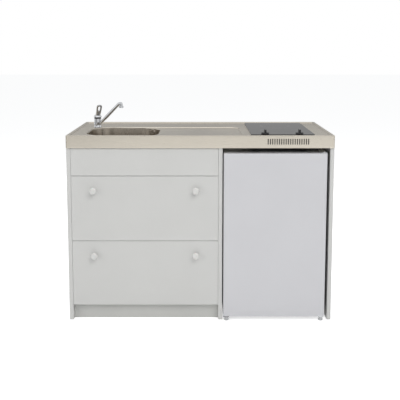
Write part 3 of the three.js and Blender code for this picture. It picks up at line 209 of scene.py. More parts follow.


# Each finish gives its linear colour, roughness and metallic, then what tone, gloss, grain and
# edge_wear_and_highlight are called with (nothing where it goes without), then its shader's further values.
FINISHES = {
    # The white boards' lighter edges are a painted highlight.
    "white_board": (
        (0.632, 0.634, 0.62), 0.5, 0, (5, 0.985, 1.01), (60, 0.44, 0.56), (1500, 0.03),
        (1.1, 1.0), {"Specular IOR Level": 0.4},
    ),
    # The plinth's board is darker than the other boards: painted shade of the recess under the
    # fronts.
    "plinth_board": (
        (0.57, 0.575, 0.555), 0.55, 0, (7, 0.97, 1.02), (60, 0.5, 0.62), (1400, 0.03), (), {},
    ),
    # Satin sheet, brushed along X, with the faint clouds and hairlines of a wiped sink top; its
    # warm tint is a painted reflection of a warm wall.
    "stainless": (
        (0.572, 0.53, 0.458), 0.3, 1, (3, 0.95, 1.05, (0.6, 2, 2)),
        (900, 0.26, 0.34, (0.012, 1, 1)), (1600, 0.006, (0.01, 1, 1)), (), {"Anisotropic": 0.35},
    ),
    # Drawn sheet, darker and warmer than the top: painted shade inside the bowl, and a painted
    # reflection of a warm wall.
    "bowl_steel_shaded": (
        (0.43, 0.385, 0.33), 0.26, 1, (6, 0.98, 1.02), (300, 0.26, 0.31, (1, 1, 0.03)),
        (900, 0.003, (1, 1, 0.05)), (), {},
    ),
    "chrome": ((0.56, 0.57, 0.585), 0.05, 1, (25, 0.97, 1.0), (70, 0.03, 0.1), (), (), {}),
    "zinc_sheet": (
        (0.56, 0.57, 0.58), 0.4, 1, (120, 0.9, 1.06), (220, 0.3, 0.48), (600, 0.01),
        (1.15, 0.8), {},
    ),
    # Aluminised sheet, made dark grey as painted shade that keeps the slots of the apron dark.
    "casing_sheet_painted_shade": (
        (0.17, 0.17, 0.165), 0.55, 0.8, (90, 0.85, 1.1), (160, 0.45, 0.62), (500, 0.01),
        (1.3, 0.8), {},
    ),
    "drawer_enamel": (
        (0.62, 0.62, 0.61), 0.35, 0, (30, 0.98, 1.01), (120, 0.3, 0.42), (900, 0.02),
        (1.08, 0.8), {},
    ),
    "black_plastic": (
        (0.012, 0.012, 0.014), 0.32, 0, (200, 0.8, 1.3), (300, 0.26, 0.4), (1800, 0.02),
        (3.0, 0.6), {},
    ),
    "white_plastic": (
        (0.68, 0.68, 0.665), 0.3, 0, (60, 0.98, 1.01), (200, 0.26, 0.36), (900, 0.008), (),
        {"Coat Weight": 0.15, "Subsurface Weight": 0.02},
    ),
    # Stoved enamel with a fine orange peel.
    "fridge_paint": (
        (0.615, 0.617, 0.64), 0.33, 0, (4, 0.985, 1.01), (90, 0.28, 0.38),
        (420, 0.035, EVEN, 2.0), (1.08, 1.0), {"Coat Weight": 0.1},
    ),
    # Near-black enamel on the refrigerator's own cabinet, behind its white door: painted shade that
    # keeps the gaps round the door dark.
    "shell_painted_shade": (
        (0.075, 0.076, 0.08), 0.42, 0, (5, 0.95, 1.05), (90, 0.36, 0.48),
        (420, 0.035, EVEN, 2.0), (1.4, 1.0), {},
    ),
    # The vacuum-formed inside of the refrigerator.
    "liner_plastic": (
        (0.76, 0.77, 0.77), 0.3, 0, (8, 0.98, 1.01), (50, 0.24, 0.36), (500, 0.02), (), {},
    ),
    "gasket_rubber": (
        (0.5, 0.5, 0.49), 0.6, 0, (80, 0.95, 1.03), (200, 0.5, 0.7), (1500, 0.04), (), {},
    ),
    "dark_steel": (
        (0.016, 0.016, 0.018), 0.45, 0, (60, 0.7, 1.5), (150, 0.35, 0.55), (700, 0.05),
        (4.0, 0.8), {"Specular IOR Level": 0.6},
    ),
    "clear_plastic": (
        (0.86, 0.93, 0.95), 0.12, 0, (20, 0.97, 1.0), (120, 0.06, 0.18), (300, 0.01), (),
        {"Transmission Weight": 0.82, "IOR": 1.49},
    ),
    "shelf_glass": (
        (0.86, 0.95, 0.93), 0.05, 0, (20, 0.97, 1.0), (60, 0.02, 0.09), (), (),
        {"Transmission Weight": 0.9, "IOR": 1.5},
    ),
    "grey_plastic": (
        (0.55, 0.56, 0.57), 0.4, 0, (90, 0.95, 1.03), (200, 0.34, 0.46), (1300, 0.02), (), {},
    ),
}
PRINT_GREY = (0.16, 0.16, 0.165, 1)
RING_WIDTH = 1.6 * MM
FINE_RING_WIDTH = 0.7 * MM
RING_GAP = 5 * MM


def finished(name):
    """The material of a line of FINISHES."""
    color, roughness, metallic, tone, gloss, grain, edges, values = FINISHES[name]
    finish = Finish(name, color, roughness, metallic).tone(*tone).gloss(*gloss).set(values)
    if grain:
        finish.grain(*grain)
    if edges:
        finish.edge_wear_and_highlight(*edges)
    return finish.material


def ring_band(finish, centre, radius, width):
    """1 on a printed ring round a point of the hob, and 0 elsewhere."""
    offset = finish.add("VectorMath", {0: finish.place, 1: centre}, operation="SUBTRACT")
    flat = finish.add("VectorMath", {0: offset.outputs[0], 1: (1, 1, 0)}, operation="MULTIPLY")
    length = finish.add("VectorMath", {0: flat.outputs[0]}, operation="LENGTH")
    inputs = {0: length.outputs["Value"], 1: radius, 2: width / 2}
    return finish.add("Math", inputs, operation="COMPARE").outputs["Value"]


def hob_glass(zones):
    """Black glass with a thin grey ring printed round each zone, and a finer one inside it."""
    finish = Finish("hob_glass", (0.004, 0.004, 0.005), 0.04)
    finish.tone(12, 0.8, 1.4).gloss(9, 0.02, 0.07)
    color = finish.base
    for centre, radius in zones:
        for ring, width in ((radius, RING_WIDTH), (radius - RING_GAP, FINE_RING_WIDTH)):
            color = finish.mix(ring_band(finish, centre, ring, width), color, PRINT_GREY)
    finish.feed("Base Color", color)
    return finish.set({"IOR": 1.5, "Specular IOR Level": 0.35}).material


# ---- Meshes ----


def mesh_of(name, work, *materials):
    """A mesh of the bmesh, which is freed."""
    mesh = bpy.data.meshes.new(name)
    work.to_mesh(mesh)
    work.free()
    for material in materials:
        mesh.materials.append(material)
    return mesh


def added(name, data):
    """A new object in the scene."""
    holder = bpy.data.objects.new(name, data)
    SCENE.collection.objects.link(holder)
    return holder


SHARP = 32  # degrees from which an edge stays sharp
EASED_SHARP = 50
CAST_SHARP = 75
SAME_PLACE = 0.005 * MM
FLAT = math.radians(0.5)
TINY = 1e-6


def shaded(piece, sharp=SHARP):
    """Smooth faces, with edges of `sharp` degrees or more kept sharp and flat faces kept flat."""
    mesh = piece.data
    mesh.polygons.foreach_set("use_smooth", [True] * len(mesh.polygons))
    mesh.set_sharp_from_angle(angle=math.radians(sharp))
    modifier = piece.modifiers.new("flat_faces", "WEIGHTED_NORMAL")
    modifier.keep_sharp = True
    return piece


def show(name, work, material, node, replaced=(), sharp=SHARP):
    """Makes the bmesh a shown piece with the body of a node."""
    piece = shaded(added(name, mesh_of(name, work, material)), sharp)
    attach(piece, NODES[node]["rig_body"])
    if replaced:
        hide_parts(*replaced)
    return piece


def stand_in_for(node, work, material, sharp=SHARP):
    """The bmesh as the finer form of one CAD node."""
    return show(f"{node}_finished", work, material, node, (node,), sharp)


def solved(piece):
    """Applies the piece's modifiers to its mesh."""
    piece.modifiers.remove(piece.modifiers["flat_faces"])
    graph = bpy.context.evaluated_depsgraph_get()
    mesh = bpy.data.meshes.new_from_object(piece.evaluated_get(graph))
    piece.modifiers.clear()
    piece.data = mesh
    return piece


def joined(piece, work, operation, sharp=SHARP):
    """Joins or cuts the piece with a bmesh."""
    tool = added("tool", mesh_of("tool", work))
    modifier = piece.modifiers.new("join", "BOOLEAN")
    modifier.operation = operation
    modifier.solver = "MANIFOLD"
    modifier.object = tool
    solved(piece)
    bpy.data.objects.remove(tool)
    return shaded(piece, sharp)


def thickened(piece, thickness):
    """Gives an open surface the thickness of its sheet, behind the shown side."""
    modifier = piece.modifiers.new("sheet", "SOLIDIFY")
    modifier.thickness = thickness * MM
    modifier.offset = -1
    return shaded(solved(piece))


def softened(points, radius, steps=4):
    """An open outline with its corners rounded by `radius`, or by a point's own third value."""
    soft = [tuple(points[0][:2])]
    for before, here, after in zip(points, points[1:], points[2:]):
        corner = Vector(here[:2])
        back = Vector(before[:2]) - corner
        ahead = Vector(after[:2]) - corner
        reach = here[2] if len(here) > 2 else radius
        reach = min(reach, back.length * 0.49, ahead.length * 0.49)
        if reach <= 0:
            soft.append(tuple(corner))
            continue
        start = corner + back.normalized() * reach
        end = corner + ahead.normalized() * reach
        for i in range(steps + 1):
            t = i / steps
            soft.append(tuple(start * (1 - t) ** 2 + corner * 2 * t * (1 - t) + end * t**2))
    soft.append(tuple(points[-1][:2]))
    return soft


def bridge(work, low, high, skipped=()):
    """Faces between two loops of as many vertices; a loop may be one point over and over."""
    for i in range(len(low)):
        if i not in skipped:
            j = (i + 1) % len(low)
            corners = [low[i], low[j], high[j], high[i]]
            work.faces.new([v for k, v in enumerate(corners) if v not in corners[:k]])


def bridged(work, loops):
    """Faces from each loop to the next."""
    for low, high in zip(loops, loops[1:]):
        bridge(work, low, high)


def closed_loft(work, loops):
    """One closed body through the loops, capped at both ends."""
    bridged(work, loops)
    work.faces.new(loops[0])
    work.faces.new(loops[-1])
    bmesh.ops.recalc_face_normals(work, faces=work.faces)
    return work


def turned(profile, segments, knurls=(), closed=False):
    """A turned solid from (radius, height) millimetres, from the axis round to the axis, or round
    a bore where `closed`. `knurls` are (low, high, depth): flutes between two heights."""
    work = bmesh.new()
    loops = []
    for radius, height in profile[:-1] if closed else profile:
        if radius < TINY:
            loops.append([work.verts.new((0, 0, height * MM))] * segments)
            continue
        loop = []
        for i in range(segments):
            angle = 2 * math.pi * i / segments
            reach = radius
            for low, high, depth in knurls:
                if low <= height <= high and i % 4 > 1:
                    reach -= depth
            place = (reach * MM * math.cos(angle), reach * MM * math.sin(angle), height * MM)
            loop.append(work.verts.new(place))
        loops.append(loop)
    if closed:
        loops.append(loops[0])
    bridged(work, loops)
    bmesh.ops.recalc_face_normals(work, faces=work.faces)
    return work


def absorb(work, other):
    """Adds the faces of a second bmesh to the first."""
    mesh = mesh_of("absorbed", other)
    work.from_mesh(mesh)
    bpy.data.meshes.remove(mesh)


def moved(work, place, turn=None):
    """The bmesh, turned and then put at a place in metres."""
    matrix = Matrix.Translation(Vector(place))
    if turn is not None:
        matrix = matrix @ turn.to_4x4()
    work.transform(matrix)
    return work


def rounded(work, edges, radius, segments, clamped=False):
    """Rounds the edges, and where `clamped` no further than their faces reach."""
    bmesh.ops.bevel(
        work, geom=edges, offset=radius * MM, segments=segments, profile=0.5, affect="EDGES",
        clamp_overlap=clamped,
    )


def block(size, place, rounding, segments=2, upright=False):
    """A box with all its edges rounded, or only the upright ones, in millimetres."""
    work = bmesh.new()
    bmesh.ops.create_cube(work, size=1)
    scale = Matrix.Diagonal((*(Vector(size) * MM), 1))
    work.transform(Matrix.Translation(Vector(place) * MM) @ scale)
    edges = [e for e in work.edges if not upright or abs((e.verts[0].co - e.verts[1].co).z) > MM]
    rounded(work, edges, rounding, segments)
    return work


def level_ring(area, inset, z, radii, steps):
    """Places round a rectangle (left, right, front, rear), drawn in by `inset` millimetres, with
    its left and right corners rounded by `radii`, counter-clockwise from the front right."""
    left, right, front, rear = area
    left, right = left + inset * MM, right - inset * MM
    front, rear = front + inset * MM, rear - inset * MM
    left_radius, right_radius = (radius * MM for radius in radii)
    corners = [
        (right - right_radius, front + right_radius, right_radius),
        (right - right_radius, rear - right_radius, right_radius),
        (left + left_radius, rear - left_radius, left_radius),
        (left + left_radius, front + left_radius, left_radius),
    ]
    places = []
    for index, (x, y, radius) in enumerate(corners):
        for i in range(steps + 1):
            angle = math.pi / 2 * (index - 1 + i / steps)
            places.append((x + radius * math.cos(angle), y + radius * math.sin(angle), z))
    return places


def loop_of(work, places):
    return [work.verts.new(place) for place in places]


def rings(work, area, rows, level, radii, steps):
    """A loop round `area` for each (inset, height over `level`) of `rows`; `radii` gives the left
    and right corner radii at an inset."""
    return [
        loop_of(work, level_ring(area, inset, level + height * MM, radii(inset), steps))
        for inset, height in rows
    ]


def edges_of(work, loop):
    """The edges of a closed loop, made where they are missing."""
    found = []
    for first, second in zip(loop, loop[1:] + loop[:1]):
        found.append(work.edges.get((first, second)) or work.edges.new((first, second)))
    return found


def fill_between(work, *loops):
    """One flat face area between an outer loop and the loops inside it."""
    edges = [edge for loop in loops for edge in edges_of(work, loop)]
    bmesh.ops.triangle_fill(work, use_beauty=True, use_dissolve=False, edges=edges)


def circle(centre, radius, z, count=48):
    """Places round a circle of `radius` millimetres."""
    x, y = centre[:2]
    reach = radius * MM
    angles = [2 * math.pi * i / count for i in range(count)]
    return [(x + reach * math.cos(angle), y + reach * math.sin(angle), z) for angle in angles]


def facing_up(work):
    """Turns the faces of an open surface so that its largest face looks up."""
    bmesh.ops.recalc_face_normals(work, faces=work.faces)
    if max(work.faces, key=lambda face: face.calc_area()).normal.z < 0:
        bmesh.ops.reverse_faces(work, faces=work.faces)
    return work


def ease(node, material, bevel, segments, angle=28):
    """Shows a node's own form with its edges of `angle` degrees or more rounded by `bevel`."""
    work = bmesh.new()
    work.from_mesh(NODES[node].data)
    bmesh.ops.remove_doubles(work, verts=work.verts, dist=SAME_PLACE)
    bmesh.ops.dissolve_limit(work, angle_limit=FLAT, verts=work.verts, edges=work.edges)
    limit = math.radians(angle)
    inner = [edge for edge in work.edges if len(edge.link_faces) == 2]
    sharp = [edge for edge in inner if edge.calc_face_angle() > limit]
    rounded(work, sharp, bevel, segments, clamped=True)
    bmesh.ops.recalc_face_normals(work, faces=work.faces)
    return stand_in_for(node, work, material, EASED_SHARP)


def standing(node):
    """The floor point under a node's middle, and its lowest and highest millimetre."""
    low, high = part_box(node)
    return ((low.x + high.x) / 2, (low.y + high.y) / 2, 0), low.z / MM, high.z / MM


# ---- Places that the construction gives ----

WORKTOP_LOW, WORKTOP_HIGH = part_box("worktop")
BOWL_LOW, BOWL_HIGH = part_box("sink_bowl")
HOB_LOW, HOB_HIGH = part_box("hob_glass")

WORKTOP = (WORKTOP_LOW.x, WORKTOP_HIGH.x, WORKTOP_LOW.y, WORKTOP_HIGH.y)
DECK_TOP = WORKTOP_HIGH.z - RIM_HEIGHT * MM
RECESS_FLOOR = DECK_TOP - RECESS_DEPTH * MM
MOUTH = (
    BOWL_LOW.x + BOWL_FLANGE * MM,
    BOWL_HIGH.x - BOWL_FLANGE * MM,
    BOWL_LOW.y + BOWL_FLANGE * MM,
    BOWL_HIGH.y - BOWL_FLANGE * MM,
)
RECESS = (
    MOUTH[0] - RECESS_MARGIN * MM,
    HOB_LOW.x - DRAINER_TO_HOB * MM,
    MOUTH[2] - RECESS_MARGIN * MM,
    MOUTH[3] + RECESS_MARGIN * MM,
)
BOWL_CENTRE = ((MOUTH[0] + MOUTH[1]) / 2, (MOUTH[2] + MOUTH[3]) / 2)
BOWL_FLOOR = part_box("waste_flange")[1].z
HOB_CENTRE_X = (HOB_LOW.x + HOB_HIGH.x) / 2
TAP_PLACE = (*standing("tap_body")[0][:2], DECK_TOP)


# ---- Worktop and sink ----


def slot_outline(x, y, low, high):
    """Places round an upright slot with round ends, in the front of the apron."""
    radius = SLOT_WIDTH / 2 * MM
    places = []
    for centre, start in ((low + radius, math.pi), (high - radius, 0)):
        for i in range(9):
            angle = start + math.pi * i / 8
            places.append((x + radius * math.cos(angle), y, centre + radius * math.sin(angle)))
    return places


def rim_radii(inset):
    """The corner radii of the worktop's outline, drawn in by `inset`."""
    share = min(1.0, max(0.0, inset) / RIM_WIDTH)
    return (OUTER_CORNER + (RIM_CORNER - OUTER_CORNER) * share,) * 2


def recess_radii(inset):
    return BOWL_CORNER + RECESS_MARGIN - inset, DRAINER_CORNER - inset


def bowl_radii(inset):
    return (BOWL_CORNER - inset,) * 2


def make_worktop(material):
    """One sheet: the hem, the apron with its slots, the raised rim, the deck, the recess and the
    lip of the bowl, with openings for the hob and the tap."""
    low = WORKTOP_LOW.z
    top = (WORKTOP_HIGH.z - low) / MM
    deck = (DECK_TOP - low) / MM
    work = bmesh.new()
    rows = [
        (HEM_WIDTH, 0), (0, 0, 2.2), (0, top, 3.2), (RIM_WIDTH, top, 2.5),
        (RIM_WIDTH + RIM_SLOPE, deck, 2.5), (RIM_WIDTH + 3 * RIM_SLOPE, deck),
    ]
    rows = softened(rows, 2, 5)
    loops = rings(work, WORKTOP, rows, low, rim_radii, RIM_STEPS)
    apron = max(range(len(rows) - 1), key=lambda i: rows[i + 1][1] - rows[i][1])
    last = len(loops[0]) - 1
    for index, (first, second) in enumerate(zip(loops, loops[1:])):
        bridge(work, first, second, (last,) if index == apron else ())

    face = [loops[apron][last], loops[apron][0], loops[apron + 1][0], loops[apron + 1][last]]
    slots = []
    for i in range(SLOT_COUNT):
        x = HOB_CENTRE_X + (SLOT_OFFSET + (i - (SLOT_COUNT - 1) / 2) * SLOT_PITCH) * MM
        slot_low = low + SLOT_LOW * MM
        places = slot_outline(x, WORKTOP_LOW.y, slot_low, slot_low + SLOT_HEIGHT * MM)
        slots.append(loop_of(work, places))
    fill_between(work, face, *slots)

    rows = [(-3, 0), (0, 0), (RECESS_SLOPE, -RECESS_DEPTH), (RECESS_SLOPE + 3, -RECESS_DEPTH)]
    recess = rings(work, RECESS, softened(rows, 1.4), DECK_TOP, recess_radii, RECESS_STEPS)
    bridged(work, recess)

    hob = (HOB_LOW.x, HOB_HIGH.x, HOB_LOW.y, HOB_HIGH.y)
    cut_out = loop_of(work, level_ring(hob, HOB_BEARING, DECK_TOP, (HOB_CORNER, HOB_CORNER), 3))
    tap_hole = loop_of(work, circle(TAP_PLACE, TAP_HOLE, DECK_TOP))
    fill_between(work, loops[-1], recess[0], cut_out, tap_hole)

    rows = softened([(-5, 0), (0, 0), (0.2, -5)], 3.5, 6)
    lip = rings(work, MOUTH, rows, RECESS_FLOOR, bowl_radii, BOWL_STEPS)
    bridged(work, lip)
    fill_between(work, recess[-1], lip[0])
    thickened(stand_in_for("worktop", facing_up(work), material), SHEET)


def make_bowl(material):
    """The drawn bowl: drafted walls, a wide fillet and a flat floor round the waste."""
    depth = (RECESS_FLOOR - BOWL_FLOOR) / MM - BOWL_SHEET
    rows = [BOWL_TOP, (BOWL_DRAFT, BOWL_FILLET - depth)]
    for i in range(1, 11):
        angle = math.pi / 2 * i / 10
        inset = BOWL_DRAFT + BOWL_FILLET * (1 - math.cos(angle))
        rows.append((inset, -depth + BOWL_FILLET * (1 - math.sin(angle))))
    work = bmesh.new()
    loops = rings(work, MOUTH, rows, RECESS_FLOOR, bowl_radii, BOWL_STEPS)
    bridged(work, loops)
    floor = RECESS_FLOOR - depth * MM
    waste = loop_of(work, circle(BOWL_CENTRE, WASTE_HOLE / 2, floor, 64))
    fill_between(work, loops[-1], waste)
    thickened(stand_in_for("sink_bowl", facing_up(work), material), BOWL_SHEET)


# ---- Waste ----

CUP_RADIUS = 41
CUP_WALL = 2
CUP_DEPTH = 42
FLANGE_RADIUS = 55
OUTLET_RADIUS = 20
OUTLET_LENGTH = 22
BASKET_SHEET = 1.4
BASKET_GAP = 0.4
FLANGE_RISE = 1.8
STRAINER_RINGS = ((6, 15), (10, 26))  # holes in a ring, and its radius
STRAINER_HOLE = 2.5
OVERFLOW_RADIUS = 15
OVERFLOW_SLOTS = (-6, 0, 6)
OVERFLOW_SLOT = (3, 19, 2.6)
TRAP_HEAD = 34
BOTTLE_HEIGHT = 70
PIPE_DROP = 28  # from the top of the bottle to the middle of its pipe
PIPE_RADIUS = 20
PIPE_BORE = 18
NUT_RADIUS = 26


def make_waste(material):
    """The flange over the bowl's floor with its cup, and the strainer that hangs in it."""
    seat = BOWL_FLOOR / MM - FLANGE_RISE
    low = seat - CUP_DEPTH
    bore = OUTLET_RADIUS - CUP_WALL
    flange = [
        (bore, low - OUTLET_LENGTH), (OUTLET_RADIUS, low - OUTLET_LENGTH, 0.5),
        (OUTLET_RADIUS, low - CUP_WALL, 3), (CUP_RADIUS + CUP_WALL, low - CUP_WALL, 5),
        (CUP_RADIUS + CUP_WALL, seat, 0.3), (FLANGE_RADIUS, seat, 0.3),
        (FLANGE_RADIUS - 1.5, seat + 1.4, 1.2), (CUP_RADIUS + 4.5, seat + FLANGE_RISE, 1.5),
        (CUP_RADIUS + 0.4, seat - 1, 1.5), (CUP_RADIUS, low, 3), (bore, low, 1),
        (bore, low - OUTLET_LENGTH),
    ]
    place = (*BOWL_CENTRE, 0)
    flange = turned(softened(flange, 1, 5), 72, closed=True)
    stand_in_for("waste_flange", moved(flange, place), material)

    wall = CUP_RADIUS - BASKET_GAP
    foot = low + CUP_WALL
    top = seat - 1
    basket = [
        (0, foot), (wall - 6, foot, 3), (wall - 0.6, foot + 6, 3), (wall, seat - 3, 1),
        (wall + 1.4, seat + 0.8, 0.5), (wall + 0.6, seat + 1.7, 0.6),
        (wall - BASKET_SHEET, seat - 4, 1), (wall - BASKET_SHEET - 1, foot + 7, 3),
        (wall - BASKET_SHEET - 6, foot + BASKET_SHEET, 3), (8, foot + BASKET_SHEET, 2),
        (3, foot + 6, 2), (3, top - 9, 1.5), (9.5, top - 6.5, 1.2), (10, top - 2, 1.6), (6, top, 2),
        (0, top),
    ]
    basket = turned(softened(basket, 1, 5), 72)
    strainer = stand_in_for("sink_strainer", moved(basket, place), material)
    holes = bmesh.new()
    drill = [(0, foot - 1), (STRAINER_HOLE, foot - 1), (STRAINER_HOLE, foot + 2.6), (0, foot + 2.6)]
    for count, radius in STRAINER_RINGS:
        for at in circle((0, 0), radius, 0, count):
            absorb(holes, moved(turned(drill, 16), at))
    joined(strainer, moved(holes, place), "DIFFERENCE")


def make_overflow(material):
    """A domed rosette with three slots, flat against the rear right corner of the bowl."""
    node = NODES["overflow_rosette"]
    low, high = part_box("overflow_rosette")
    centre = (low + high) / 2
    flat = max(node.data.polygons, key=lambda face: face.area).normal
    inward = flat if flat.y < 0 else -flat
    along = inward.cross(Vector((0, 0, 1))).normalized()
    turn = Matrix((along, inward.cross(along), inward)).transposed()
    edge = OVERFLOW_RADIUS
    profile = [(0, -1.5), (edge, -1.5), (edge, 0.2, 0.8), (edge - 2.5, 1.5, 1.2), (0, 1.1)]
    plate = moved(turned(softened(profile, 0.5), 56), centre, turn)
    rosette = stand_in_for("overflow_rosette", plate, material)
    slots = bmesh.new()
    for x in OVERFLOW_SLOTS:
        absorb(slots, block(OVERFLOW_SLOT, (x, 0, 0.9), 1.4, 4, upright=True))
    joined(rosette, moved(slots, centre, turn), "DIFFERENCE")


def make_trap(material):
    """The bottle trap: ribbed nuts, the bottle, and the pipe to the wall."""
    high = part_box("waste_trap")[1]
    top = high.z / MM
    bottle_top = top - TRAP_HEAD
    base = bottle_top - BOTTLE_HEIGHT
    bottle = [
        (0, base), (22, base, 3), (28, base + 6, 4), (28, base + 22.4, 0.5), (33, base + 23.6, 1),
        (33, base + 37, 1), (30, base + 38.5, 1), (30, bottle_top - 6, 4), (22, bottle_top, 3),
        (18, bottle_top + 2, 2), (18, top - 18.5, 0.6), (24, top - 17, 1), (26, top - 13, 1),
        (26, top, 0.6), (0, top),
    ]
    place = (*BOWL_CENTRE, 0)
    knurls = ((base + 23, base + 37.5, 1.2), (top - 16, top - 1, 1.0))
    bottle = turned(softened(bottle, 1, 3), 64, knurls)
    trap = stand_in_for("waste_trap", moved(bottle, place), material)
    end = (high.y - BOWL_CENTRE[1]) / MM
    pipe = [
        (0, 0), (PIPE_RADIUS, 0), (PIPE_RADIUS, end, 0.6), (PIPE_BORE, end, 0.6), (PIPE_BORE, 52),
        (0, 52),
    ]
    nut = [
        (0, 23), (24.6, 23, 0.6), (NUT_RADIUS, 25.5, 1), (NUT_RADIUS, 48, 1), (21, 49, 0.6),
        (0, 49),
    ]
    back = Matrix.Rotation(-math.pi / 2, 3, "X")
    at = (*BOWL_CENTRE, (bottle_top - PIPE_DROP) * MM)
    for profile, flutes in ((pipe, ()), (nut, ((25, 48.5, 1.1),))):
        joined(trap, moved(turned(softened(profile, 0.5, 3), 56, flutes), at, back), "UNION")


# ---- Tap ----

TAP_YAW = -43
LEVER_YAW = -71
BALL_HEIGHT = 47
BALL_RADIUS = 17
LEVER_SLOPE = 50
SPOUT_REACH = 178
SPOUT_RISE = 125
SPOUT_RADIUS = 7
SPOUT_CROWN = 17
SPOUT_ARCH = 3
SPOUT_ROOT = (16, 0, 19)
SPOUT_ROOT_RADIUS = 5.2
SPOUT_SWELL = 2.8
AERATOR_LENGTH = 10
RING_BORE = 12.3
THREAD_PITCH = 1.5
DOME_RADIUS = 20
DOME_BORE = 17.6
DOME_LOW = 51
BALL_LOW = 44.3
HANDLE_ROOT = 6
HANDLE_END = 82
HANDLE_TIP = 13  # length over which the end is rounded
HANDLE_HALF = 12.2
HANDLE_FLARE = 1.8
HANDLE_THICK = 5.4
HANDLE_TAPER = 1.6
HANDLE_SAG = 2.2
HANDLE_LOOP = (28, 10.5, 30)
HANDLE_LOOP_PLACE = (59, 0, 0)


def yaw(degrees):
    return Matrix.Rotation(math.radians(degrees), 3, "Z")


def dome(radius, low):
    """Profile points of a ball about the lever's tilt axis, from a height to its top."""
    start = math.asin((low - BALL_HEIGHT) / radius)
    points = []
    for i in range(12):
        angle = start + (math.pi / 2 - start) * i / 12
        points.append((radius * math.cos(angle), BALL_HEIGHT + radius * math.sin(angle)))
    return points + [(0, BALL_HEIGHT + radius)]


def tube(points, radii, sides):
    """A round bar through points in millimetres, with a radius for each, capped at both ends."""
    points = [Vector(point) for point in points]
    work = bmesh.new()
    loops = []
    side = None
    for i, (point, radius) in enumerate(zip(points, radii)):
        ahead = (points[min(i + 1, len(points) - 1)] - points[max(i - 1, 0)]).normalized()
        if side is None:
            side = ahead.orthogonal().normalized()
        side = (side - ahead * side.dot(ahead)).normalized()
        up = ahead.cross(side)
        loop = []
        for k in range(sides):
            angle = 2 * math.pi * k / sides
            place = point + (side * math.cos(angle) + up * math.sin(angle)) * radius
            loop.append(work.verts.new(place * MM))
        loops.append(loop)
    return closed_loft(work, loops)


def cast(piece, voxel, smoothing):
    """Melts the joined forms of a casting into each other."""
    remesh = piece.modifiers.new("melt", "REMESH")
    remesh.mode = "VOXEL"
    remesh.voxel_size = voxel * MM
    smooth = piece.modifiers.new("smooth", "SMOOTH")
    smooth.factor = 0.5
    smooth.iterations = smoothing
    return shaded(solved(piece), CAST_SHARP)


def make_tap(material, dark):
    body = [
        (0, 0.3), (20, 0.3, 0.4), (20, 3.3, 1.4), (17.6, 6.6, 1.8), (17, 14, 0.4), (12, 14, 0.3),
        (12, 26, 0.3), (17.6, 26, 0.6), (17.6, 28, 0.8), (17, 44, 0.8), (6.3, 44, 0.3), (6.3, 29),
        (0, 29),
    ]
    stand_in_for("tap_body", moved(turned(softened(body, 0.4), 64), TAP_PLACE), material)

    thread = []
    height = -58.0
    while height < -24:
        thread += [(9.4, height), (10, height + THREAD_PITCH / 3)]
        height += THREAD_PITCH
    fixing = [(0, -60), (9, -60), (9.4, -59)] + thread + [(10, -20.4), (17, -20.4), (17, -9)]
    fixing += [(12, -9), (12, 0), (0, 0)]
    stand_in_for("tap_fixing", moved(turned(fixing, 48), TAP_PLACE), material)
    make_spout(material)
    make_lever(material, dark)


def make_spout(material):
    ring = [
        (RING_BORE, 14.3), (18, 14.3, 0.6), (19, 15.3, 0.8), (19, 24.7, 0.8), (18, 25.7, 0.6),
        (RING_BORE, 25.7), (RING_BORE, 14.3),
    ]
    turn = yaw(TAP_YAW)
    ring = moved(turned(softened(ring, 0.5), 64, closed=True), TAP_PLACE, turn)
    spout = stand_in_for("tap_spout", ring, material)
    start = Vector(SPOUT_ROOT)
    bend = Vector((SPOUT_REACH - SPOUT_CROWN, 0, SPOUT_RISE))
    peak = Vector((SPOUT_REACH - 1, 0, SPOUT_RISE + 2 * SPOUT_ARCH))
    last = Vector((SPOUT_REACH, 0, SPOUT_RISE))
    points = []
    radii = []
    for i in range(25):
        t = i / 24
        points.append(start.lerp(bend, t))
        radii.append(SPOUT_ROOT_RADIUS + SPOUT_SWELL * min(1, t * 3) - max(0, t - 0.3) / 0.7)
    for i in range(1, 13):
        t = i / 12
        points.append(bend * (1 - t) ** 2 + peak * 2 * t * (1 - t) + last * t**2)
        radii.append(SPOUT_RADIUS)
    points.append(Vector((SPOUT_REACH, 0, SPOUT_RISE - SPOUT_RADIUS)))
    radii.append(SPOUT_RADIUS)
    joined(spout, moved(tube(points, radii, 32), TAP_PLACE, turn), "UNION")
    bore = [(0, 13), (RING_BORE, 13), (RING_BORE, 27), (0, 27)]
    joined(spout, moved(turned(bore, 64), TAP_PLACE), "DIFFERENCE", 50)

    top = SPOUT_RISE - SPOUT_RADIUS - 0.3
    end = top - AERATOR_LENGTH
    aerator = [
        (0, end + 3), (8, end + 3, 0.3), (8.4, end, 0.4), (11, end, 0.6), (11, top - 3.2, 0.8),
        (9.2, top - 2.2, 0.5), (9.2, top - 0.6, 0.4), (8, top, 0.4), (0, top),
    ]
    work = moved(turned(softened(aerator, 0.4), 72), (SPOUT_REACH * MM, 0, 0))
    stand_in_for("tap_aerator", moved(work, TAP_PLACE, turn), material)


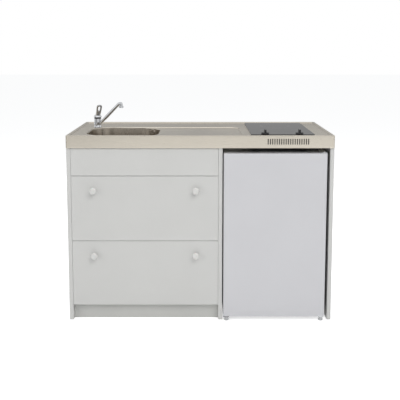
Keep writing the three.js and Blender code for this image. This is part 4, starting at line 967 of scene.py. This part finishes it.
def make_lever(material, dark):
    """The turning ball, and the lever on it: a dome that grows into a handle with a loop."""
    turn = yaw(LEVER_YAW)
    ball = [(0, 29.3), (6, 29.3), (6, BALL_LOW)] + dome(BALL_RADIUS, BALL_LOW)
    stand_in_for("tap_cartridge", moved(turned(ball, 56), TAP_PLACE, turn), dark)

    shell = dome(DOME_BORE, DOME_LOW)[::-1] + dome(DOME_RADIUS, DOME_LOW)
    lever = stand_in_for("tap_lever", moved(turned(shell, 64), TAP_PLACE, turn), material)
    tilt = Matrix.Rotation(math.radians(-LEVER_SLOPE), 4, "Y")
    place = Matrix.Translation(Vector((0, 0, BALL_HEIGHT + 6)) * MM) @ tilt
    handle = bmesh.new()
    loops = []
    for i in range(30):
        t = i / 29
        x = HANDLE_ROOT + (HANDLE_END - HANDLE_ROOT) * t
        tip = max(0.0, (x - (HANDLE_END - HANDLE_TIP)) / HANDLE_TIP)
        half = HANDLE_HALF + HANDLE_FLARE * min(1, t / 0.75) ** 1.4
        half *= math.sqrt(max(0.0004, 1 - tip**2))
        thick = (HANDLE_THICK - HANDLE_TAPER * t) * math.sqrt(max(0.01, 1 - tip**4))
        sag = HANDLE_SAG * math.sin(math.pi * t) - 3.2 * max(0, t - 0.7) ** 2 * 4
        loop = []
        for k in range(28):
            angle = 2 * math.pi * k / 28
            across = math.copysign(abs(math.cos(angle)) ** 0.8, math.cos(angle)) * half
            up = math.copysign(abs(math.sin(angle)) ** 0.9, math.sin(angle)) * thick
            loop.append(handle.verts.new(Vector((x, across, up - sag)) * MM))
        loops.append(loop)
    closed_loft(handle, loops).transform(place)
    joined(lever, moved(handle, TAP_PLACE, turn), "UNION")

    loop = block(HANDLE_LOOP, HANDLE_LOOP_PLACE, 5, 6, upright=True)
    loop.transform(place)
    joined(lever, moved(loop, TAP_PLACE, turn), "DIFFERENCE")
    inside = bmesh.new()
    bmesh.ops.create_uvsphere(inside, u_segments=48, v_segments=24, radius=DOME_BORE * MM)
    joined(lever, moved(inside, Vector(TAP_PLACE) + Vector((0, 0, BALL_HEIGHT * MM))), "DIFFERENCE")
    cast(lever, 0.45, 6)


# ---- Hob ----

ZONES = ((155, 90), (365, 72.5))  # distance from the glass's front edge, and radius
HOB_KNOB_RADIUS = 18
HOB_KNOB_HEIGHT = 20
HOB_KNOB_GRIP = 9
HOB_KNOB_LINE = (1.4, 9, 0.5)


def make_hob(plastic, white):
    zones = [
        ((HOB_CENTRE_X, HOB_LOW.y + distance * MM, 0), radius * MM) for distance, radius in ZONES
    ]
    ease("hob_glass", hob_glass(zones), 1.1, 3)
    for side in SIDES:
        make_hob_knob(f"hob_knob_{side}", plastic, white)


def make_hob_knob(node, plastic, white):
    """A skirted knob with a ridge to hold and a white line on top of it."""
    centre, low, top = standing(node)
    base = top - HOB_KNOB_HEIGHT
    radius = HOB_KNOB_RADIUS
    profile = [
        (0, low), (4, low), (4, base), (radius, base, 0.3), (radius, base + 2.4, 0.8),
        (radius - 1.6, base + 6.2, 1.2), (radius - 4, base + 7, 1), (0, base + 7.2),
    ]
    flutes = ((base + 2, base + 6.5, 0.5),)
    skirt = moved(turned(softened(profile, 0.5), 72, flutes), centre)
    knob = stand_in_for(node, skirt, plastic)
    outline = [(-17, base + 5), (17, base + 5, 0.5), (15, top, 5), (-15, top, 5), (-17, base + 5)]
    outline = softened(outline, 5, 6)[:-1]
    ridge = bmesh.new()
    rows = []
    for x in (-HOB_KNOB_GRIP / 2, HOB_KNOB_GRIP / 2):
        rows.append([ridge.verts.new(Vector((x, y, z)) * MM) for y, z in outline])
    closed_loft(ridge, rows)
    flanks = [edge for edge in ridge.edges if abs(edge.verts[0].co.x - edge.verts[1].co.x) < TINY]
    rounded(ridge, flanks, 1.4, 3)
    joined(knob, moved(ridge, centre), "UNION")
    line = moved(block(HOB_KNOB_LINE, (0, -8, top - 0.1), 0.2), centre)
    show(f"{node}_line", line, white, node)


# ---- Cabinet ----

DRAWERS = ("upper", "lower")
BOARDS = (
    "left_side_panel", "divider_panel", "right_side_panel", "cabinet_floor",
    "cabinet_front_rail", "cabinet_rear_rail", "false_front",
    *(f"{drawer}_drawer_{part}" for drawer in DRAWERS for part in ("front", "back", "bottom")),
)
SHEET_PARTS = (
    *(f"runner_{drawer}_{side}" for drawer in DRAWERS for side in SIDES),
    "fridge_upper_hinge",
    "fridge_lower_hinge",
)
DRAWER_SIDES = [f"{drawer}_drawer_{side}_side" for drawer in DRAWERS for side in SIDES]
DRAWER_KNOBS = [f"{drawer}_drawer_knob_{side}" for drawer in DRAWERS for side in SIDES]
KNOB_SEAT = 0.3 * MM


def make_cabinet(zinc):
    for nodes, material, bevel in (
        (BOARDS, finished("white_board"), 0.35),
        (("plinth_board",), finished("plinth_board"), 0.6),
        (SHEET_PARTS, zinc, 0.3),
        (("hob_casing",), finished("casing_sheet_painted_shade"), 0.3),
        (DRAWER_SIDES, finished("drawer_enamel"), 0.4),
    ):
        for node in nodes:
            ease(node, material, bevel, 2)


def make_drawer_knobs(material):
    """Turned mushroom knobs."""
    profile = [
        (0, 0.3), (10.5, 0.3, 0.3), (10.3, 2.6, 1), (6.7, 6.6, 2.5), (7.2, 12, 3),
        (14.2, 15.4, 2.5), (16.5, 19.2, 2.6), (15.2, 24.2, 3), (9.5, 27.4, 4), (0, 28),
    ]
    forward = Matrix.Rotation(math.pi / 2, 3, "X")
    for node in DRAWER_KNOBS:
        low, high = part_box(node)
        place = ((low.x + high.x) / 2, high.y + KNOB_SEAT, (low.z + high.z) / 2)
        stand_in_for(node, moved(turned(softened(profile, 2, 6), 56), place, forward), material, 60)


# ---- Refrigerator ----

LINER_SIDE = 30  # walls of the cabinet round the liner's faces
LINER_FOOT = 50
LINER_REAR = 39
STEP_HEIGHT = 205  # the step over the compressor
STEP_DEPTH = 152
DOOR_LINER_DEPTH = 31
DOOR_LINER_EDGE = 11
SHELF_TRIM = 8.8
COMPRESSOR_WELD = 0.52  # share of its height
COMPRESSOR_PLATE = (100, 56, 12)
CONDENSER_MARGIN = 45
CONDENSER_PITCH = 56
CONDENSER_RUNS = 9
CONDENSER_TUBE = 2.5
WIRE_COUNT = 44
WIRE_RADIUS = 0.7


def second_material(piece, material, chosen):
    """Gives the faces whose centre `chosen` accepts a second material."""
    piece.data.materials.append(material)
    for polygon in piece.data.polygons:
        if chosen(polygon.center):
            polygon.material_index = 1


def within(value, low, high, margin):
    return low + margin * MM < value < high - margin * MM


def make_refrigerator(white, grey, dark):
    liner = finished("liner_plastic")
    low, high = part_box("fridge_cabinet")
    door_low, door_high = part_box("fridge_door")

    def in_cabinet(place):
        step = place.z < STEP_HEIGHT * MM and place.y > high.y - STEP_DEPTH * MM
        return (
            within(place.x, low.x, high.x, LINER_SIDE)
            and LINER_FOOT * MM < place.z < high.z - LINER_SIDE * MM
            and place.y < high.y - LINER_REAR * MM
            and not step
        )

    def in_door(place):
        return (
            place.y > door_high.y - DOOR_LINER_DEPTH * MM
            and within(place.x, door_low.x, door_high.x, DOOR_LINER_EDGE)
            and within(place.z, door_low.z, door_high.z, DOOR_LINER_EDGE)
        )

    # The cabinet's near-black paint is painted shade in the gaps round the door.
    second_material(ease("fridge_cabinet", finished("shell_painted_shade"), 1.2, 3), liner, in_cabinet)
    second_material(ease("fridge_door", finished("fridge_paint"), 1.2, 3), liner, in_door)
    ease("door_gasket", finished("gasket_rubber"), 0.9, 3)
    glass = finished("shelf_glass")
    for node in ("fridge_shelf", "crisper_cover"):
        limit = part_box(node)[0].y + SHELF_TRIM * MM
        shelf = ease(node, glass, 0.5, 2)
        second_material(shelf, white, lambda place, limit=limit: place.y < limit)
    clear = finished("clear_plastic")
    for node in ("fridge_crisper", "door_bin_upper", "door_bin_lower"):
        ease(node, clear, 0.9, 3)
    ease("thermostat_housing", white, 0.9, 3)
    ease("thermostat_knob", grey, 0.6, 2, 40)
    for side in SIDES:
        make_foot(f"fridge_foot_{side}", grey)
    make_compressor(dark)
    make_condenser(dark)


def make_foot(node, material):
    centre, _, top = standing(node)
    profile = [
        (0, 0), (9.5, 0, 0.6), (10.5, 1, 0.8), (10.5, 8, 1), (8, 10, 0.8), (8, 12, 0.5),
        (10, 13, 0.6), (10, top, 0.4), (0, top),
    ]
    foot = turned(softened(profile, 0.5, 3), 48, ((1.5, 7.5, 0.5),))
    stand_in_for(node, moved(foot, centre), material)


def make_compressor(material):
    """The welded pot on its plate."""
    centre, base, top = standing("fridge_compressor")
    mid = base + (top - base) * COMPRESSOR_WELD
    pot = [
        (0, base + 8), (31, base + 8, 6), (55, base + 20, 14), (60, base + 40, 10),
        (60, mid - 3, 0.6), (63, mid - 3, 0.8), (63, mid + 3, 0.8), (60, mid + 3.5, 0.6),
        (59, top - 34, 12), (53, top - 14, 12), (31, top - 3, 12), (0, top),
    ]
    pot = turned(softened(pot, 4, 6), 72)
    compressor = stand_in_for("fridge_compressor", moved(pot, centre), material)
    plate = block(COMPRESSOR_PLATE, (0, 0, base + 6), 1.5)
    joined(compressor, moved(plate, centre), "UNION")


def make_condenser(material):
    """The tube that runs to and fro over the back, and the wires welded across it."""
    low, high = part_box("fridge_condenser")
    plane = (low.y + high.y) / 2 / MM
    cabinet_low, cabinet_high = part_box("fridge_cabinet")
    left = cabinet_low.x / MM + CONDENSER_MARGIN
    right = cabinet_high.x / MM - CONDENSER_MARGIN
    bend = CONDENSER_PITCH / 2
    start = low.z / MM + CONDENSER_TUBE
    points = []
    for run in range(CONDENSER_RUNS):
        level = start + run * CONDENSER_PITCH
        outward = 1 if run % 2 == 0 else -1
        first, last = (left, right) if outward > 0 else (right, left)
        for i in range(5):
            points.append((first + (last - first) * i / 4, plane, level))
        if run < CONDENSER_RUNS - 1:
            for k in range(1, 12):
                angle = -math.pi / 2 + math.pi * k / 12
                x = last + outward * bend * math.cos(angle)
                points.append((x, plane, level + bend + bend * math.sin(angle)))
    work = tube(points, [CONDENSER_TUBE] * len(points), 12)
    foot = start - 2.4
    head = start + (CONDENSER_RUNS - 1) * CONDENSER_PITCH + 2.4
    y = plane + 2.9
    for i in range(WIRE_COUNT):
        x = left + 3 + (right - left - 6) * i / (WIRE_COUNT - 1)
        absorb(work, tube([(x, y, foot), (x, y, head)], [WIRE_RADIUS] * 2, 8))
    stand_in_for("fridge_condenser", work, material)


# ---- Stage, light and camera ----


AMBIENT = 0.38
AMBIENT_COLOR = (0.97, 0.985, 1.0, 1)
FLOOR_COLOR = (0.93, 0.93, 0.93)
FLOOR_SIZE = (60, 60)
FLOOR_LIFT = 0.62  # keeps the floor white to its far edge, and its shadow light
LAMP_TARGET = (0, 0, 0.5)
LAMPS = (  # name, place, size in metres, watts, colour
    ("key", (1.2, -3.0, 3.1), (2.6, 2.0), 66, (1.0, 0.99, 0.98)),
    ("fill_left", (-3.4, -2.4, 1.9), (2.4, 2.4), 30, (1.0, 0.98, 0.96)),
    ("top", (0, 0.2, 3.6), (3.2, 2.2), 42, (1, 1, 1)),
    ("rear", (0.5, 3.4, 2.4), (3.0, 2.0), 26, (0.98, 0.99, 1.0)),
)
CARD_TARGET = (0, 0, 0.9)
CARDS = (  # name, place, size in metres, strength
    ("rear_card", (0, 2.6, 1.25), (5.2, 1.3), 0.42),
    ("left_card", (-2.6, -1.2, 1.3), (0.9, 2.4), 0.05),
    ("right_card", (2.5, -1.4, 1.3), (0.7, 2.4), 0.06),
    ("front_card", (0.4, -5.4, 2.1), (2.6, 1.5), 0.1),
    ("front_left_card", (-2.6, -4.6, 0.9), (2.2, 1.6), 0.36),
    ("high_strip", (0, -1.9, 3.3), (5.0, 0.5), 2.2),
)


def background_rays(tree):
    """1 on rays that the camera, a reflection or a clear piece sends out, and 0 on light's own."""
    path = add_node(tree, "LightPath", {})
    found = path.outputs["Is Camera Ray"]
    for ray in ("Is Glossy Ray", "Is Transmission Ray"):
        inputs = {0: found, 1: path.outputs[ray]}
        found = add_node(tree, "Math", inputs, operation="MAXIMUM").outputs["Value"]
    return found


def glow(tree, strength):
    return add_node(tree, "Emission", {"Strength": strength}).outputs["Emission"]


def stage_sheet(name, material, size):
    """A flat sheet of the studio, of `size` metres; it isn't part of the object."""
    work = bmesh.new()
    bmesh.ops.create_grid(work, x_segments=1, y_segments=1, size=0.5)
    work.transform(Matrix.Diagonal((*size, 1, 1)))
    sheet = added(name, mesh_of(name, work, material))
    return sheet


def make_floor():
    """A white floor that keeps the object's shadow."""
    finish = Finish("studio_floor", FLOOR_COLOR, 0.9).set({"Specular IOR Level": 0.0})
    tree = finish.tree
    inputs = {"Fac": background_rays(tree), 1: glow(tree, 0.0), 2: glow(tree, FLOOR_LIFT)}
    lift = add_node(tree, "MixShader", inputs).outputs["Shader"]
    total = add_node(tree, "AddShader", {0: finish.shader.outputs["BSDF"], 1: lift})
    tree.links.new(total.outputs["Shader"], tree.nodes["Material Output"].inputs["Surface"])
    stage_sheet("studio_floor", finish.material, FLOOR_SIZE)


def aim(holder, place, target, front):
    """Puts a lamp or a sheet at its place, with its `front` axis turned to the target."""
    holder.location = place
    holder.rotation_mode = "QUATERNION"
    holder.rotation_quaternion = (Vector(target) - Vector(place)).to_track_quat(front, "Y")


def add_card(name, place, size, strength):
    """A card that only reflections see, as a studio puts up to give metal its dark and light."""
    material = bpy.data.materials.new(name)
    material.use_nodes = True
    tree = material.node_tree
    tree.nodes.remove(tree.nodes["Principled BSDF"])
    tree.links.new(glow(tree, strength), tree.nodes["Material Output"].inputs["Surface"])
    card = stage_sheet(name, material, size)
    aim(card, place, CARD_TARGET, "Z")
    for ray in ("camera", "diffuse", "transmission", "volume_scatter", "shadow"):
        setattr(card, f"visible_{ray}", False)


def make_world():
    """Even light on the object, and pure white wherever the camera or a reflection sees past it."""
    world = bpy.data.worlds.new("studio")
    world.use_nodes = True
    tree = world.node_tree
    tree.nodes.clear()
    seen = add_node(tree, "Background", {"Color": (1, 1, 1, 1), "Strength": 1.0})
    ambient = add_node(tree, "Background", {"Color": AMBIENT_COLOR, "Strength": AMBIENT})
    sides = {1: ambient.outputs["Background"], 2: seen.outputs["Background"]}
    mix = add_node(tree, "MixShader", {"Fac": background_rays(tree), **sides})
    add_node(tree, "OutputWorld", {"Surface": mix.outputs["Shader"]})
    SCENE.world = world


def add_softbox(name, place, size, power, color):
    lamp = bpy.data.lights.new(name, "AREA")
    lamp.shape = "RECTANGLE"
    lamp.size, lamp.size_y = size
    lamp.energy = power
    lamp.color = color
    holder = added(name, lamp)
    aim(holder, place, LAMP_TARGET, "-Z")
    holder.visible_glossy = False


def make_camera():
    """Looks at the unit as the photograph does: from a little above, with upright lines kept
    upright as far as a small shift allows."""
    data = bpy.data.cameras.new("camera")
    data.sensor_width = SENSOR
    data.lens = LENS
    data.shift_y = CAMERA_SHIFT
    camera = added("camera", data)
    camera.location = (CAMERA_X, WORKTOP_LOW.y - CAMERA_DISTANCE, CAMERA_HEIGHT)
    camera.rotation_euler = (math.radians(90 - CAMERA_PITCH), 0, 0)
    SCENE.camera = camera


# ---- Everything in place ----

make_camera()
make_world()
for lamp in LAMPS:
    add_softbox(*lamp)
make_floor()
for card in CARDS:
    add_card(*card)

bright = finished("chrome")
zinc = finished("zinc_sheet")
dark = finished("dark_steel")
white = finished("white_plastic")
drawn = finished("bowl_steel_shaded")
make_worktop(finished("stainless"))
make_bowl(drawn)
make_waste(bright)
make_overflow(drawn)
make_trap(white)
make_tap(bright, dark)
make_hob(finished("black_plastic"), white)
make_cabinet(zinc)
make_drawer_knobs(white)
make_refrigerator(white, finished("grey_plastic"), dark)
for node in ("hob_element_front", "hob_element_rear"):
    ease(node, dark, 0.5, 2)

SCENE.view_settings.view_transform = "Standard"
